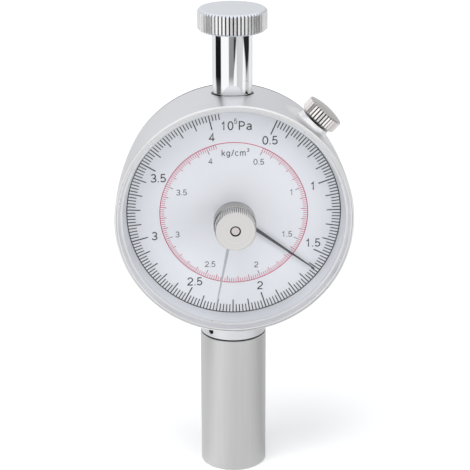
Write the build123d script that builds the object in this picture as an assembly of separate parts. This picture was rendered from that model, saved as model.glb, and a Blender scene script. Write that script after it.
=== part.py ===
"""Dial hardness tester for fruit: a hand-held penetrometer with a rack-driven driving pointer.

The dial axis is Y, with the dial facing -Y, and the plunger axis is Z. Both pass through the model's
own origin, and LIFT raises the finished pieces so that the guard sleeve stands on z = 0.
All sizes are in millimetres. Angles round the dial are clockwise from 12 o'clock, seen from the front.
"""
from build123d import *
from math import acos, cos, pi, radians, sin, tan
import os

# ------------------------------------------------------------------ fits and gaps
RUN = 0.04                # radial gap round a turning or sliding shaft
SLIP = 0.05               # radial gap of a piece that is pushed into place by hand
SEAT = 0.02               # gap between two faces that are screwed or pressed together
AIR = 0.3                 # gap between pieces that pass each other without touching
LAP = 0.5                 # how far solids that are joined run into each other
CUT = 1.0                 # how far a cutting shape stands out of what it cuts

# ------------------------------------------------------------------ case
CASE_R = 30.0
FRONT_Y = -14.6
BACK_Y = 12.2
BACK_R = CASE_R - 1.4     # the wall draws in to this at the back
BARREL_Y = -12.0          # the wall is straight in front of this and barrelled behind it
RIM_ROUND = 0.35
BACK_CHAMFER = 0.2
CHAMBER_R = CASE_R - 3.0  # rear chamber
WEB_FRONT_Y = -2.6        # annular web that carries the movement
WEB_T = 2.0
WEB_LEDGE = 1.0           # ring of the web that the rod's slot leaves along the wall
ROD_SLOT_W = 9.0          # the web is cut through for the rod, above and below
COVER_BOSS_R = 2.4
COVER_SCREW_PCR = CHAMBER_R - 2.1
COVER_HOLE_DEPTH = 6.0
PLATE_HOLE_FLOOR = 0.4    # web left behind the plate screws' holes

# ------------------------------------------------------------------ lower stem and guard
COLLAR_R = 8.47
COLLAR_END_Z = -(CASE_R + 4.88)
COLLAR_BORE_R = 6.0
BUSH_TOP_Z = 1.6 - CASE_R
SHOULDER_R = COLLAR_R - 0.5  # sunk shoulder between the collar and the guard, seen as a dark line
SHOULDER_L = 0.38
SPIGOT_R = 7.0
SPIGOT_L = 6.0
BUSH_CHAMFER = 0.5
SLEEVE_R = 8.62
SLEEVE_L = 37.48
SLEEVE_CHAMFER = 0.3
SLEEVE_TOP_CHAMFER = 0.12
SET_SCREW_R = 0.75
SET_SCREW_L = 1.6
SET_SCREW_Z = COLLAR_END_Z + 1.58
SET_SCREW_TURN = 44.5     # from straight ahead towards the left
SET_SCREW_SOCKET = 0.8    # across the flats
SET_SCREW_SOCKET_DEPTH = 0.8

# ------------------------------------------------------------------ handle
POST_R = 5.02
POST_SEAT_Z = CASE_R - 0.55  # flat spot-faced on the case
POST_SEAT_GAP = 0.25      # spot face round the post
POST_L = 16.22
POST_SPIGOT_R = 4.0
POST_SPIGOT_L = 2.0
POST_BORE_R = 3.0
POST_CHAMFER = 0.35
KNOB_R = 8.76
KNOB_H = 5.34
KNOB_RIBS = 58
KNOB_RIB_DEPTH = 0.36
KNOB_CHAMFER = 0.55
KNOB_STUD_L = 4.5

# ------------------------------------------------------------------ bezel, crystal and dial
BEZEL_FLANGE_R = CASE_R - 0.48
BEZEL_FLANGE_T = 1.1
BEZEL_LIP_R = BEZEL_FLANGE_R - 0.42  # inner edge of the lip
BEZEL_BODY_R = BEZEL_FLANGE_R - 0.62
BEZEL_STEP_Y = -6.4       # behind this the ring is only a narrow skirt
BEZEL_END_Y = WEB_FRONT_Y - 0.25
LIP_ROUND = 0.12
CRYSTAL_FRONT_Y = -14.4
CRYSTAL_T = 1.5
CRYSTAL_SEAT_R = BEZEL_BODY_R - 0.45  # cone radius at the back of the crystal
DIAL_Y = -8.12            # printed face
DIAL_T = 0.6
DIAL_R = BEZEL_BODY_R - 0.95
DIAL_HOLE_R = 2.2
BEZEL_SKIRT_R = DIAL_R - 1.0
BEZEL_SKIRT_BORE_R = BEZEL_SKIRT_R - 1.45
WINDOW_R = DIAL_R - 0.78  # visible edge of the dial
SPACER_KNEE_R = WINDOW_R + 0.43
SPACER_KNEE_Y = -11.2
SPACER_FRONT_R = WINDOW_R + 0.68
SNAP_RING_Y = -9.9
SNAP_RING_T = 0.6
SNAP_RING_W = 0.7
SNAP_GROOVE_DEPTH = 0.385  # of the groove in the case and of the one in the bezel
SNAP_GAP_DEG = 14.0
GROOVE_GAP = 0.08

# ------------------------------------------------------------------ side clamp
SIDE_TURN = 42.0          # clockwise from 12 o'clock
SIDE_Y = -4.4
BOSS_R = 4.1
BOSS_TOP = CASE_R + 1.0   # distance from the dial axis
BOSS_FLARE = 2.4
SIDE_SCREW_R = 1.5
SIDE_SHOE_R = 1.1
SIDE_SHOE_T = 0.7
SIDE_GROOVE_DEPTH = 0.35
SIDE_NECK_R = 3.6
SIDE_NECK_L = 0.35
SIDE_LIFT = 0.3           # gap under the neck when the clamp is tight
SIDE_HEAD_R = 5.04
SIDE_HEAD_L = 3.2
SIDE_DOME = 0.7
SIDE_RIBS = 36
SIDE_RIB_DEPTH = 0.36
SIDE_CHAMFER = 0.3
SIDE_SCREW_GRIP = 2.0     # length of the screw inside the knob

# ------------------------------------------------------------------ movement
PLATE_FRONT_Y = -6.2
PLATE_T = 0.8
PLATE_R = BEZEL_SKIRT_BORE_R - 1.1
WEB_HOLE_R = PLATE_R - 3.9
PILLAR_R = 1.8
PILLAR_PCR = PLATE_R - 1.6
PLATE_SCREW_R = 0.8
PLATE_SCREW_HEAD_R = 1.5
SCREW_HEAD_T = 0.8
BRIDGE_FRONT_Y = -3.4
BRIDGE_T = 0.8
BRIDGE_W = 5.2
BRIDGE_PILLAR_X = 7.5
BRIDGE_PILLAR_R = 1.4
SMALL_SCREW_R = 0.6
SMALL_HEAD_R = 1.1
SMALL_HEAD_T = 0.6
SMALL_GRIP = 1.5          # thread length of the small screws
SMALL_HOLE_DEPTH = 2.0
ARBOR_R = 0.5
ARBOR_FRONT_Y = -10.8
ARBOR_BACK_Y = -2.75
ARBOR_POINT = 0.15
ARBOR_BUSH_R = 1.5
ARBOR_BUSH_FLANGE_R = 2.2
ARBOR_BUSH_FLANGE_T = 0.3

# ------------------------------------------------------------------ rack and pinion
MODULE = 0.25
PINION_TEETH = 10
PRESSURE_ANGLE = 20.0
ADDENDUM = 0.25
DEDENDUM = 0.31
RACK_ADDENDUM = 0.15      # stub teeth, so that the small pinion is not undercut
TOOTH_SLACK = 0.05
PINION_W = 1.6
RACK_W = 1.5
RACK_BACK_T = 1.9
RACK_END = 0.3            # plain end above the top tooth
RACK_TEETH_ABOVE = 2      # whole teeth beyond the travel
RACK_TEETH_BELOW = 2
RACK_SCREW_HEAD_R = 0.8
RACK_SCREW_HEAD_T = 0.4
TRAVEL = 7.2

# ------------------------------------------------------------------ plunger
ROD_UPPER_R = 1.5
ROD_STEP_Z = -10.0
ROD_MID_R = 2.0
ROD_LOWER_R = 2.5
ROD_LEAD = 0.3            # bevel at the rod's ends
ROD_THREAD_R = 1.5
ROD_THREAD_L = 6.0
CARRIER_BOTTOM_Z = 1.5 - WEB_HOLE_R
CARRIER_H = 5.0
CARRIER_X = 3.5
CARRIER_BACK_Y = 3.0
CARRIER_ROUND = 0.5
GUIDE_PIN_R = 0.8
GUIDE_PIN_END_X = 6.9
GUIDE_PIN_CHAMFER = 0.15
RAIL_X0 = 5.0
RAIL_X1 = 7.8
RAIL_BACK_Y = 1.9
RAIL_WALL = 1.2
STOP_GAP = 0.05
UPPER_BUSH_FLANGE_Z = CHAMBER_R - 2.0
UPPER_BUSH_FLANGE_T = 0.6
UPPER_BUSH_R = 2.45
UPPER_BUSH_TOP_Z = POST_SEAT_Z + 1.55
ROD_TOP_Z = UPPER_BUSH_TOP_Z + 1.5
SPRING_ROOM = 14.6        # from the seat up to the bush's flange
SPRING_SEAT_R = 3.1
SPRING_SEAT_T = 1.4
SPRING_SEAT_CHAMFER = 0.2
SPRING_MEAN_R = 2.8
SPRING_WIRE = 0.5
SPRING_TURNS = 8.0
TIP_R = 1.75
TIP_INSET = 4.36          # the tip's end face above the end of the guard
TIP_L = 12.4
TIP_SHOULDER_L = 2.0      # cone between the tip and its head
TIP_SHOULDER_IN = 0.7
TIP_MARK = 10.0           # depth line above the tip's end face
TIP_MARK_W = 0.35
TIP_MARK_DEPTH = 0.12
TIP_ROUND = 0.25
HEAD_R = 3.4
HEAD_L = 5.0
HEAD_RIBS = 24
HEAD_RIB_DEPTH = 0.25
HEAD_BEVEL = 0.5

# ------------------------------------------------------------------ pointers and reset knob
MAIN_ANGLE = 126.0
MAIN_TIP = WINDOW_R - 1.77
MAIN_TAIL = 4.2
MAIN_HALF_W = 0.62
MAIN_TIP_HALF_W = 0.14
MAIN_FRONT_Y = -9.1
MAIN_T = 0.2
MAIN_HUB_R = 1.4
MAIN_HUB_L = 1.5
MAIN_HUB_STAND = 0.15     # the hub stands this far behind the blade
PEAK_ANGLE = 191.0
PEAK_TIP = WINDOW_R - 2.17
PEAK_HALF_W = 0.5
PEAK_TIP_HALF_W = 0.12
PEAK_FRONT_Y = -11.9
PEAK_T = 0.15
PEAK_HUB_R = 1.6
PEAK_HUB_L = 1.0
PEAK_HUB_STAND = 0.4      # the hub stands this far in front of the blade
DOG_R = 0.25
DOG_PLACE = 9.0
RESET_R = 5.12
RESET_FACE_Y = -21.56
RESET_H = 3.4
RESET_RIBS = 60
RESET_RIB_DEPTH = 0.3
RESET_CHAMFER = 0.22
RESET_HOLE_R = 1.35
RESET_HOLE_DEPTH = 0.8
WASHER_T = 0.25
WASHER_R = 4.4
BASE_R = 5.3              # flange of the bush that stands on the crystal
BASE_ROUND = 0.3
SHANK_R = 2.4
NUT_R = 3.1
NUT_T = 0.45
NUT_SLOT_W = 0.6
SPINDLE_R = 1.0
SPINDLE_SINK = 0.15       # the spindle's end below the knob's face

# ------------------------------------------------------------------ back cover and hairspring
COVER_R = BACK_R - 0.25
COVER_T = 1.2
COVER_SPIGOT_T = 1.0
COVER_SPIGOT_WALL = 1.55
COVER_BOSS_STEP = 0.4     # the cover's bosses are smaller than the case's by this
COVER_ROUND = 0.5
COVER_SCREW_R = 1.0
COVER_SCREW_L = 4.5
COVER_HEAD_R = 1.9
COVER_HEAD_T = 0.9
COVER_HEAD_SINK = 0.6
COVER_HEAD_GAP = 0.15
SPIRAL_IN_R = 1.5
SPIRAL_OUT_R = 4.6
SPIRAL_TURNS = 4.0
SPIRAL_STRIP = 0.12
SPIRAL_W = 0.4
SPIRAL_STEPS = 16         # points to a turn
COLLET_R = 1.2
STUD_R = 0.6
STUD_STAND = 0.1          # the stud and the collet stand this far in front of the strip

# ------------------------------------------------------------------ values that follow from those above
SLEEVE_TOP_Z = COLLAR_END_Z - SHOULDER_L - SEAT
SLEEVE_END_Z = SLEEVE_TOP_Z - SLEEVE_L
LIFT = -SLEEVE_END_Z
WEB_BACK_Y = WEB_FRONT_Y + WEB_T
POST_TOP_Z = POST_SEAT_Z + POST_L
SPRING_SEAT_Z = UPPER_BUSH_FLANGE_Z - SPRING_ROOM
TIP_END_Z = SLEEVE_END_Z + TIP_INSET
ROD_END_Z = TIP_END_Z + TIP_L + TIP_SHOULDER_L + HEAD_L
CRYSTAL_BACK_Y = CRYSTAL_FRONT_Y + CRYSTAL_T
DIAL_BACK_Y = DIAL_Y + DIAL_T
PLATE_BACK_Y = PLATE_FRONT_Y + PLATE_T
BRIDGE_BACK_Y = BRIDGE_FRONT_Y + BRIDGE_T
PITCH_R = MODULE * PINION_TEETH / 2
TOOTH_PITCH = pi * MODULE
MESH_MID_Y = (PLATE_BACK_Y + BRIDGE_FRONT_Y) / 2
RACK_FRONT_Y = MESH_MID_Y - RACK_W / 2
RACK_REAR_Y = MESH_MID_Y + RACK_W / 2
CARRIER_TOP_Z = CARRIER_BOTTOM_Z + CARRIER_H
GUIDE_PIN_Z = CARRIER_BOTTOM_Z + CARRIER_H / 2
BASE_FRONT_Y = RESET_FACE_Y + RESET_H + WASHER_T
HEAD_START = BOSS_TOP + SIDE_LIFT + SIDE_NECK_L
GROOVE_FLOOR_R = BEZEL_SKIRT_R - SIDE_GROOVE_DEPTH
SHOE_TIP = GROOVE_FLOOR_R + SLIP
SHOE_TOP = SHOE_TIP + SIDE_SHOE_T
SKIRT_BORE_R = BEZEL_SKIRT_R + SLIP
SPIGOT_TOP_Z = COLLAR_END_Z - SHOULDER_L
SPIGOT_END_Z = SPIGOT_TOP_Z - SPIGOT_L
RACK_SCREW_X = -PITCH_R - ADDENDUM - TOOTH_SLACK - RACK_BACK_T / 2
HAIRSPRING_Y = (DIAL_BACK_Y + PLATE_FRONT_Y - SPIRAL_W) / 2
SCREW_TURNS = (45.0, 135.0, 225.0, 315.0)


# ------------------------------------------------------------------ helpers
def rod(radius, z0, z1):
    """Cylinder on the Z axis between two heights."""
    return Pos(0, 0, (z0 + z1) / 2) * Cylinder(radius, abs(z1 - z0))


def tube(outer, inner, z0, z1):
    """Cylinder on the Z axis with a through bore."""
    return rod(outer, z0, z1) - rod(inner, z0 - CUT, z1 + CUT)


def facing(shape):
    """Turn a piece built along +Z so that +Z points to the front."""
    return Rot(90, 0, 0) * shape


def disc(radius, y0, y1):
    """Cylinder on the dial axis between two depths."""
    return facing(rod(radius, -y0, -y1))


def ring(outer, inner, y0, y1):
    """Flat ring on the dial axis between two depths."""
    return disc(outer, y0, y1) - disc(inner, min(y0, y1) - CUT, max(y0, y1) + CUT)


def turned_y(*points):
    """Solid of revolution round the dial axis from (radius, y) points."""
    return revolve(make_face(Polyline(*points, close=True)), Axis.Y)


def turned_z(*points):
    """Solid of revolution round the plunger axis from (radius, z) points."""
    outline = Polyline(*[(r, 0, z) for r, z in points], close=True)
    return revolve(make_face(outline), Axis.Z)


def at_clock(shape, degrees):
    """Turn a piece that points to 12 o'clock clockwise round the dial."""
    return Rot(0, degrees, 0) * shape


def at_side(shape):
    """Place a piece built along +Z on the axis of the side clamp."""
    return Pos(0, SIDE_Y, 0) * at_clock(shape, SIDE_TURN)


def set_screw_place(piece):
    """Place a piece built along +Z on the axis of the collar's set screw, pointing outwards."""
    return Pos(0, 0, SET_SCREW_Z) * Rot(0, 0, -SET_SCREW_TURN) * facing(piece)


def ribbed(radius, depth, ribs, length):
    """Straight-knurled cylinder standing on z = 0."""
    pitch = 2 * pi / ribs
    corners = []
    for rib in range(ribs):
        for share, r in ((-0.30, radius), (0.30, radius), (0.42, radius - depth), (0.58, radius - depth)):
            turn = (rib + share) * pitch
            corners.append((r * cos(turn), r * sin(turn)))
    return extrude(make_face(Polyline(*corners, close=True)), length)


def knurled_head(radius, depth, ribs, length, bevel, dome=0.0):
    """Knurled head with bevelled ends and a flat or domed top, standing on z = 0."""
    flat = radius - bevel
    side = Polyline((0, 0, 0), (flat, 0, 0), (radius, 0, bevel), (radius, 0, length - bevel),
                    (flat, 0, length))
    if dome:
        top = ThreePointArc((flat, 0, length), (flat / 2, 0, length + dome * 0.75), (0, 0, length + dome))
    else:
        top = Line((flat, 0, length), (0, 0, length))
    axis = Line((0, 0, length + dome), (0, 0, 0))
    envelope = revolve(make_face([*side.edges(), top, axis]), Axis.Z)
    return ribbed(radius, depth, ribs, length + dome) & envelope


def clock_points(radius, turns):
    """(x, z) of places round the dial."""
    return [(radius * sin(radians(t)), radius * cos(radians(t))) for t in turns]


def screw(shank_r, shank_l, head_r, head_t):
    """Slotted screw: head from z = 0 upwards, shank below it."""
    head = fillet(rod(head_r, 0, head_t).edges().sort_by(Axis.Z)[-1], head_t * 0.3)
    slot = Pos(0, 0, head_t) * Box(2 * head_r + CUT, head_r * 0.25, head_t)
    return head - slot + rod(shank_r, -shank_l, 0)


# ------------------------------------------------------------------ case and cover
def case_section():
    """Outer half-section of the case, from its front rim to its back edge."""
    back_edge = BACK_Y - BACK_CHAMFER
    rim = ThreePointArc((CASE_R - RIM_ROUND, FRONT_Y),
                        (CASE_R - RIM_ROUND * (1 - sin(pi / 4)), FRONT_Y + RIM_ROUND * (1 - cos(pi / 4))),
                        (CASE_R, FRONT_Y + RIM_ROUND))
    straight = Line((CASE_R, FRONT_Y + RIM_ROUND), (CASE_R, BARREL_Y))
    barrel = Bezier((CASE_R, BARREL_Y), (CASE_R, (BARREL_Y + back_edge) / 2), (BACK_R, back_edge))
    inner = Polyline((BACK_R, back_edge), (BACK_R - BACK_CHAMFER, BACK_Y), (0, BACK_Y),
                     (0, FRONT_Y), (CASE_R - RIM_ROUND, FRONT_Y))
    return make_face([rim, straight, barrel, *inner.edges()])


def case_cavity():
    """Space inside the case: the bezel's stepped bore, the web's hole and the rear chamber."""
    flange_r = BEZEL_FLANGE_R + SLIP
    body_r = BEZEL_BODY_R + SLIP
    floor_y = FRONT_Y + BEZEL_FLANGE_T + SLIP
    step_y = BEZEL_STEP_Y + SLIP
    hollow = turned_y((0, FRONT_Y - CUT), (flange_r, FRONT_Y - CUT), (flange_r, floor_y), (body_r, floor_y),
                      (body_r, step_y), (SKIRT_BORE_R, step_y), (SKIRT_BORE_R, WEB_FRONT_Y),
                      (WEB_HOLE_R, WEB_FRONT_Y), (WEB_HOLE_R, WEB_BACK_Y), (CHAMBER_R, WEB_BACK_Y),
                      (CHAMBER_R, BACK_Y + CUT), (0, BACK_Y + CUT))
    half = SNAP_RING_T / 2 + GROOVE_GAP
    groove_r = body_r + SNAP_GROOVE_DEPTH
    return hollow + ring(groove_r, body_r - LAP, SNAP_RING_Y - half, SNAP_RING_Y + half)


def side_boss():
    """Flared boss that the clamp screw is threaded through, built along +Z."""
    root = CHAMBER_R
    foot = BOSS_TOP - BOSS_FLARE
    wide = BOSS_R + BOSS_FLARE
    bend = BOSS_FLARE * (1 - cos(pi / 4))
    flare = ThreePointArc((wide, 0, foot), (BOSS_R + bend, 0, foot + bend), (BOSS_R, 0, BOSS_TOP))
    rest = Polyline((BOSS_R, 0, BOSS_TOP), (0, 0, BOSS_TOP), (0, 0, root), (wide, 0, root), (wide, 0, foot))
    return revolve(make_face([flare, *rest.edges()]), Axis.Z)


def case_body():
    shell = revolve(case_section(), Axis.Y)
    shell += rod(COLLAR_R, COLLAR_END_Z, -CHAMBER_R + LAP)
    shell += at_side(side_boss())
    shell -= case_cavity()
    for x, z in clock_points(COVER_SCREW_PCR, SCREW_TURNS):
        shell += Pos(x, 0, z) * disc(COVER_BOSS_R, WEB_BACK_Y - LAP, BACK_Y - COVER_SPIGOT_T - SEAT)
        shell -= Pos(x, 0, z) * disc(COVER_SCREW_R, BACK_Y - COVER_HOLE_DEPTH, BACK_Y)
    for x, z in clock_points(PILLAR_PCR, SCREW_TURNS):
        shell -= Pos(x, 0, z) * disc(PLATE_SCREW_R, WEB_FRONT_Y - CUT, WEB_BACK_Y - PLATE_HOLE_FLOOR)
    slot_mid_y = (WEB_BACK_Y + WEB_FRONT_Y) / 2
    shell -= Pos(0, slot_mid_y, 0) * Box(ROD_SLOT_W, WEB_T + CUT, 2 * (CHAMBER_R - WEB_LEDGE))
    shell -= rod(COLLAR_BORE_R, COLLAR_END_Z - CUT, BUSH_TOP_Z)
    shell -= rod(ROD_LOWER_R + AIR, BUSH_TOP_Z - CUT, -WEB_HOLE_R)
    shell -= rod(POST_SPIGOT_R + SLIP, CHAMBER_R - WEB_LEDGE - CUT, CASE_R + CUT)
    shell -= rod(POST_R + POST_SEAT_GAP, POST_SEAT_Z, CASE_R + CUT)
    shell -= at_side(rod(SIDE_SCREW_R, WEB_HOLE_R, BOSS_TOP + CUT))
    shell -= set_screw_place(rod(SET_SCREW_R, COLLAR_BORE_R - CUT, COLLAR_R + CUT))
    return shell


def back_cover():
    plate = turned_y((0, BACK_Y + SEAT), (COVER_R - BACK_CHAMFER, BACK_Y + SEAT),
                     (COVER_R, BACK_Y + SEAT + BACK_CHAMFER), (COVER_R, BACK_Y + COVER_T - COVER_ROUND),
                     (COVER_R - COVER_ROUND, BACK_Y + COVER_T), (0, BACK_Y + COVER_T))
    spigot_r = CHAMBER_R - SLIP
    spigot_y = BACK_Y - COVER_SPIGOT_T
    sink_y = BACK_Y + COVER_T - COVER_HEAD_SINK
    plate += ring(spigot_r, spigot_r - COVER_SPIGOT_WALL, spigot_y, BACK_Y + LAP)
    for x, z in clock_points(COVER_SCREW_PCR, SCREW_TURNS):
        back_y = BACK_Y + COVER_T + CUT
        plate += Pos(x, 0, z) * disc(COVER_BOSS_R - COVER_BOSS_STEP, spigot_y, BACK_Y + LAP)
        plate -= Pos(x, 0, z) * disc(COVER_SCREW_R + SLIP, spigot_y - CUT, back_y)
        plate -= Pos(x, 0, z) * disc(COVER_HEAD_R + COVER_HEAD_GAP, sink_y, back_y)
    return plate


# ------------------------------------------------------------------ lower stem
def collar_set_screw():
    start = COLLAR_BORE_R + SEAT
    grub = rod(SET_SCREW_R - SEAT, start, start + SET_SCREW_L)
    socket = extrude(RegularPolygon(SET_SCREW_SOCKET / 2, 6, major_radius=False), SET_SCREW_SOCKET_DEPTH)
    return set_screw_place(grub - Pos(0, 0, start + SET_SCREW_L - SET_SCREW_SOCKET_DEPTH) * socket)


def lower_guide_bush():
    """Guide of the plunger. Its lower end is the spigot that carries the guard sleeve."""
    bush = turned_z((0, BUSH_TOP_Z - AIR), (COLLAR_BORE_R - SEAT, BUSH_TOP_Z - AIR),
                    (COLLAR_BORE_R - SEAT, COLLAR_END_Z - SEAT), (SHOULDER_R, COLLAR_END_Z - SEAT),
                    (SHOULDER_R, SPIGOT_TOP_Z), (SPIGOT_R, SPIGOT_TOP_Z),
                    (SPIGOT_R, SPIGOT_END_Z + BUSH_CHAMFER), (SPIGOT_R - BUSH_CHAMFER, SPIGOT_END_Z),
                    (0, SPIGOT_END_Z))
    return bush - rod(ROD_LOWER_R + RUN, SPIGOT_END_Z - CUT, BUSH_TOP_Z + CUT)


def guard_sleeve():
    bore = SPIGOT_R + SLIP
    return turned_z((bore, SLEEVE_TOP_Z), (SLEEVE_R - SLEEVE_TOP_CHAMFER, SLEEVE_TOP_Z),
                    (SLEEVE_R, SLEEVE_TOP_Z - SLEEVE_TOP_CHAMFER),
                    (SLEEVE_R, SLEEVE_END_Z + SLEEVE_CHAMFER), (SLEEVE_R - SLEEVE_CHAMFER, SLEEVE_END_Z),
                    (bore + SLEEVE_CHAMFER, SLEEVE_END_Z), (bore, SLEEVE_END_Z + SLEEVE_CHAMFER))


# ------------------------------------------------------------------ handle
def handle_post():
    bottom = POST_SEAT_Z + SEAT
    post = turned_z((0, bottom - POST_SPIGOT_L), (POST_SPIGOT_R, bottom - POST_SPIGOT_L),
                    (POST_SPIGOT_R, bottom), (POST_R - POST_CHAMFER, bottom), (POST_R, bottom + POST_CHAMFER),
                    (POST_R, POST_TOP_Z), (0, POST_TOP_Z))
    post -= rod(UPPER_BUSH_R, 0, UPPER_BUSH_TOP_Z)
    return post - rod(POST_BORE_R, UPPER_BUSH_TOP_Z, POST_TOP_Z + CUT)


def handle_knob():
    head = knurled_head(KNOB_R, KNOB_RIB_DEPTH, KNOB_RIBS, KNOB_H, KNOB_CHAMFER)
    stud = rod(POST_BORE_R - SEAT, -KNOB_STUD_L, LAP)
    return Pos(0, 0, POST_TOP_Z + SEAT) * (head + stud)


def upper_guide_bush():
    flange_bottom = UPPER_BUSH_FLANGE_Z - UPPER_BUSH_FLANGE_T
    bush = rod(SPRING_SEAT_R, flange_bottom, UPPER_BUSH_FLANGE_Z)
    bush += rod(UPPER_BUSH_R - SEAT, flange_bottom, UPPER_BUSH_TOP_Z - SEAT)
    return bush - rod(ROD_UPPER_R + RUN, 0, UPPER_BUSH_TOP_Z + CUT)


# ------------------------------------------------------------------ bezel, crystal and dial
def bezel_ring():
    body = turned_y((BEZEL_LIP_R, FRONT_Y), (BEZEL_FLANGE_R - LIP_ROUND, FRONT_Y),
                    (BEZEL_FLANGE_R, FRONT_Y + LIP_ROUND), (BEZEL_FLANGE_R, FRONT_Y + BEZEL_FLANGE_T),
                    (BEZEL_BODY_R, FRONT_Y + BEZEL_FLANGE_T), (BEZEL_BODY_R, BEZEL_STEP_Y),
                    (BEZEL_SKIRT_R, BEZEL_STEP_Y), (BEZEL_SKIRT_R, BEZEL_END_Y),
                    (BEZEL_SKIRT_BORE_R, BEZEL_END_Y), (BEZEL_SKIRT_BORE_R, DIAL_BACK_Y + SEAT),
                    (DIAL_R + SLIP, DIAL_BACK_Y + SEAT), (DIAL_R + SLIP, CRYSTAL_BACK_Y),
                    (CRYSTAL_SEAT_R, CRYSTAL_BACK_Y))
    snap_half = SNAP_RING_T / 2 + GROOVE_GAP
    body -= ring(CASE_R, BEZEL_BODY_R - SNAP_GROOVE_DEPTH, SNAP_RING_Y - snap_half, SNAP_RING_Y + snap_half)
    shoe_half = SIDE_SHOE_R + GROOVE_GAP
    return body - ring(CASE_R, GROOVE_FLOOR_R, SIDE_Y - shoe_half, SIDE_Y + shoe_half)


def bezel_snap_ring():
    """Open ring sprung into the case's groove, with its inner half in the bezel's."""
    outer = BEZEL_BODY_R + SLIP + SNAP_GROOVE_DEPTH - SEAT
    loop = ring(outer, outer - SNAP_RING_W, SNAP_RING_Y - SNAP_RING_T / 2, SNAP_RING_Y + SNAP_RING_T / 2)
    gap = outer * tan(radians(SNAP_GAP_DEG / 2))
    wedge = make_face(Polyline((0, 0, 0), (-gap, 0, -outer), (gap, 0, -outer), close=True))
    return loop - Pos(0, SNAP_RING_Y - SNAP_RING_T, 0) * extrude(wedge, 2 * SNAP_RING_T, dir=(0, 1, 0))


def crystal():
    slope = (BEZEL_LIP_R - CRYSTAL_SEAT_R) / (CRYSTAL_BACK_Y - FRONT_Y)
    front_r = BEZEL_LIP_R - slope * (CRYSTAL_FRONT_Y - FRONT_Y) - SEAT
    back_y = CRYSTAL_BACK_Y - SEAT
    lens = turned_y((0, CRYSTAL_FRONT_Y), (front_r, CRYSTAL_FRONT_Y), (CRYSTAL_SEAT_R - SEAT, back_y),
                    (0, back_y))
    return lens - disc(SHANK_R + SLIP, CRYSTAL_FRONT_Y - CUT, CRYSTAL_BACK_Y + CUT)


def dial_spacer_ring():
    front_y, back_y = CRYSTAL_BACK_Y + SEAT, DIAL_Y - SEAT
    return turned_y((WINDOW_R, back_y), (SPACER_KNEE_R, SPACER_KNEE_Y), (SPACER_FRONT_R, front_y),
                    (DIAL_R, front_y), (DIAL_R, back_y))


def dial_plate():
    return ring(DIAL_R, DIAL_HOLE_R, DIAL_Y, DIAL_BACK_Y)


def crystal_bush():
    """Flanged bush through the crystal, the bearing of the reset spindle."""
    back_y = CRYSTAL_FRONT_Y - SEAT
    flange = turned_y((0, BASE_FRONT_Y), (BASE_R - BASE_ROUND, BASE_FRONT_Y),
                      (BASE_R, BASE_FRONT_Y + BASE_ROUND), (BASE_R, back_y), (0, back_y))
    bush = flange + disc(SHANK_R, BASE_FRONT_Y + LAP, CRYSTAL_BACK_Y + NUT_T)
    return bush - disc(SPINDLE_R + RUN, BASE_FRONT_Y - CUT, CRYSTAL_BACK_Y + NUT_T + CUT)


def crystal_nut():
    """Ring nut with four slots for the wrench."""
    nut = ring(NUT_R, SHANK_R + SEAT, CRYSTAL_BACK_Y, CRYSTAL_BACK_Y + NUT_T)
    slot_l = NUT_R - SHANK_R
    slot = Pos(0, CRYSTAL_BACK_Y + NUT_T, NUT_R) * Box(NUT_SLOT_W, NUT_T, slot_l)
    for turn in (0.0, 90.0, 180.0, 270.0):
        nut -= at_clock(slot, turn)
    return nut


# ------------------------------------------------------------------ reset knob and peak pointer
def reset_knob():
    head = knurled_head(RESET_R, RESET_RIB_DEPTH, RESET_RIBS, RESET_H, RESET_CHAMFER)
    head -= rod(SPINDLE_R + SEAT, -CUT, RESET_H + CUT)
    head -= rod(RESET_HOLE_R, RESET_H - RESET_HOLE_DEPTH, RESET_H + CUT)
    return Pos(0, RESET_FACE_Y + RESET_H, 0) * facing(head)


def reset_washer():
    back_y = BASE_FRONT_Y - SEAT
    return ring(WASHER_R, SPINDLE_R + SLIP, back_y - WASHER_T + 2 * SEAT, back_y)


def reset_spindle():
    return disc(SPINDLE_R, RESET_FACE_Y + SPINDLE_SINK, PEAK_FRONT_Y + PEAK_HUB_L - PEAK_HUB_STAND)


def blade(tip, half_w, tip_half_w, tail, thickness):
    """Tapered pointer blade that points to 12 o'clock, with its front face at y = 0."""
    outline = Polyline((-half_w, 0, -tail), (-tip_half_w, 0, tip), (tip_half_w, 0, tip), (half_w, 0, -tail),
                       close=True)
    return extrude(make_face(outline), thickness, dir=(0, 1, 0))


def peak_pointer():
    """Blade, hub and the dog that the driving pointer pushes."""
    hub_y = PEAK_FRONT_Y - PEAK_HUB_STAND
    arm = Pos(0, PEAK_FRONT_Y, 0) * blade(PEAK_TIP, PEAK_HALF_W, PEAK_TIP_HALF_W, 0, PEAK_T)
    arm += disc(PEAK_HUB_R, hub_y, hub_y + PEAK_HUB_L)
    arm += Pos(0, 0, DOG_PLACE) * disc(DOG_R, PEAK_FRONT_Y, MAIN_FRONT_Y - AIR)
    arm -= disc(SPINDLE_R + SEAT / 2, hub_y - CUT, hub_y + PEAK_HUB_L + CUT)
    return at_clock(arm, PEAK_ANGLE)


# ------------------------------------------------------------------ driving pointer and its arbor
def main_pointer():
    arm = Pos(0, MAIN_FRONT_Y, 0) * blade(MAIN_TIP, MAIN_HALF_W, MAIN_TIP_HALF_W, MAIN_TAIL, MAIN_T)
    hub_back = MAIN_FRONT_Y + MAIN_T + MAIN_HUB_STAND
    arm += disc(MAIN_HUB_R, hub_back - MAIN_HUB_L, hub_back)
    arm -= disc(ARBOR_R + SEAT / 2, ARBOR_FRONT_Y - CUT, DIAL_Y)
    return at_clock(arm, MAIN_ANGLE)


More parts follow.
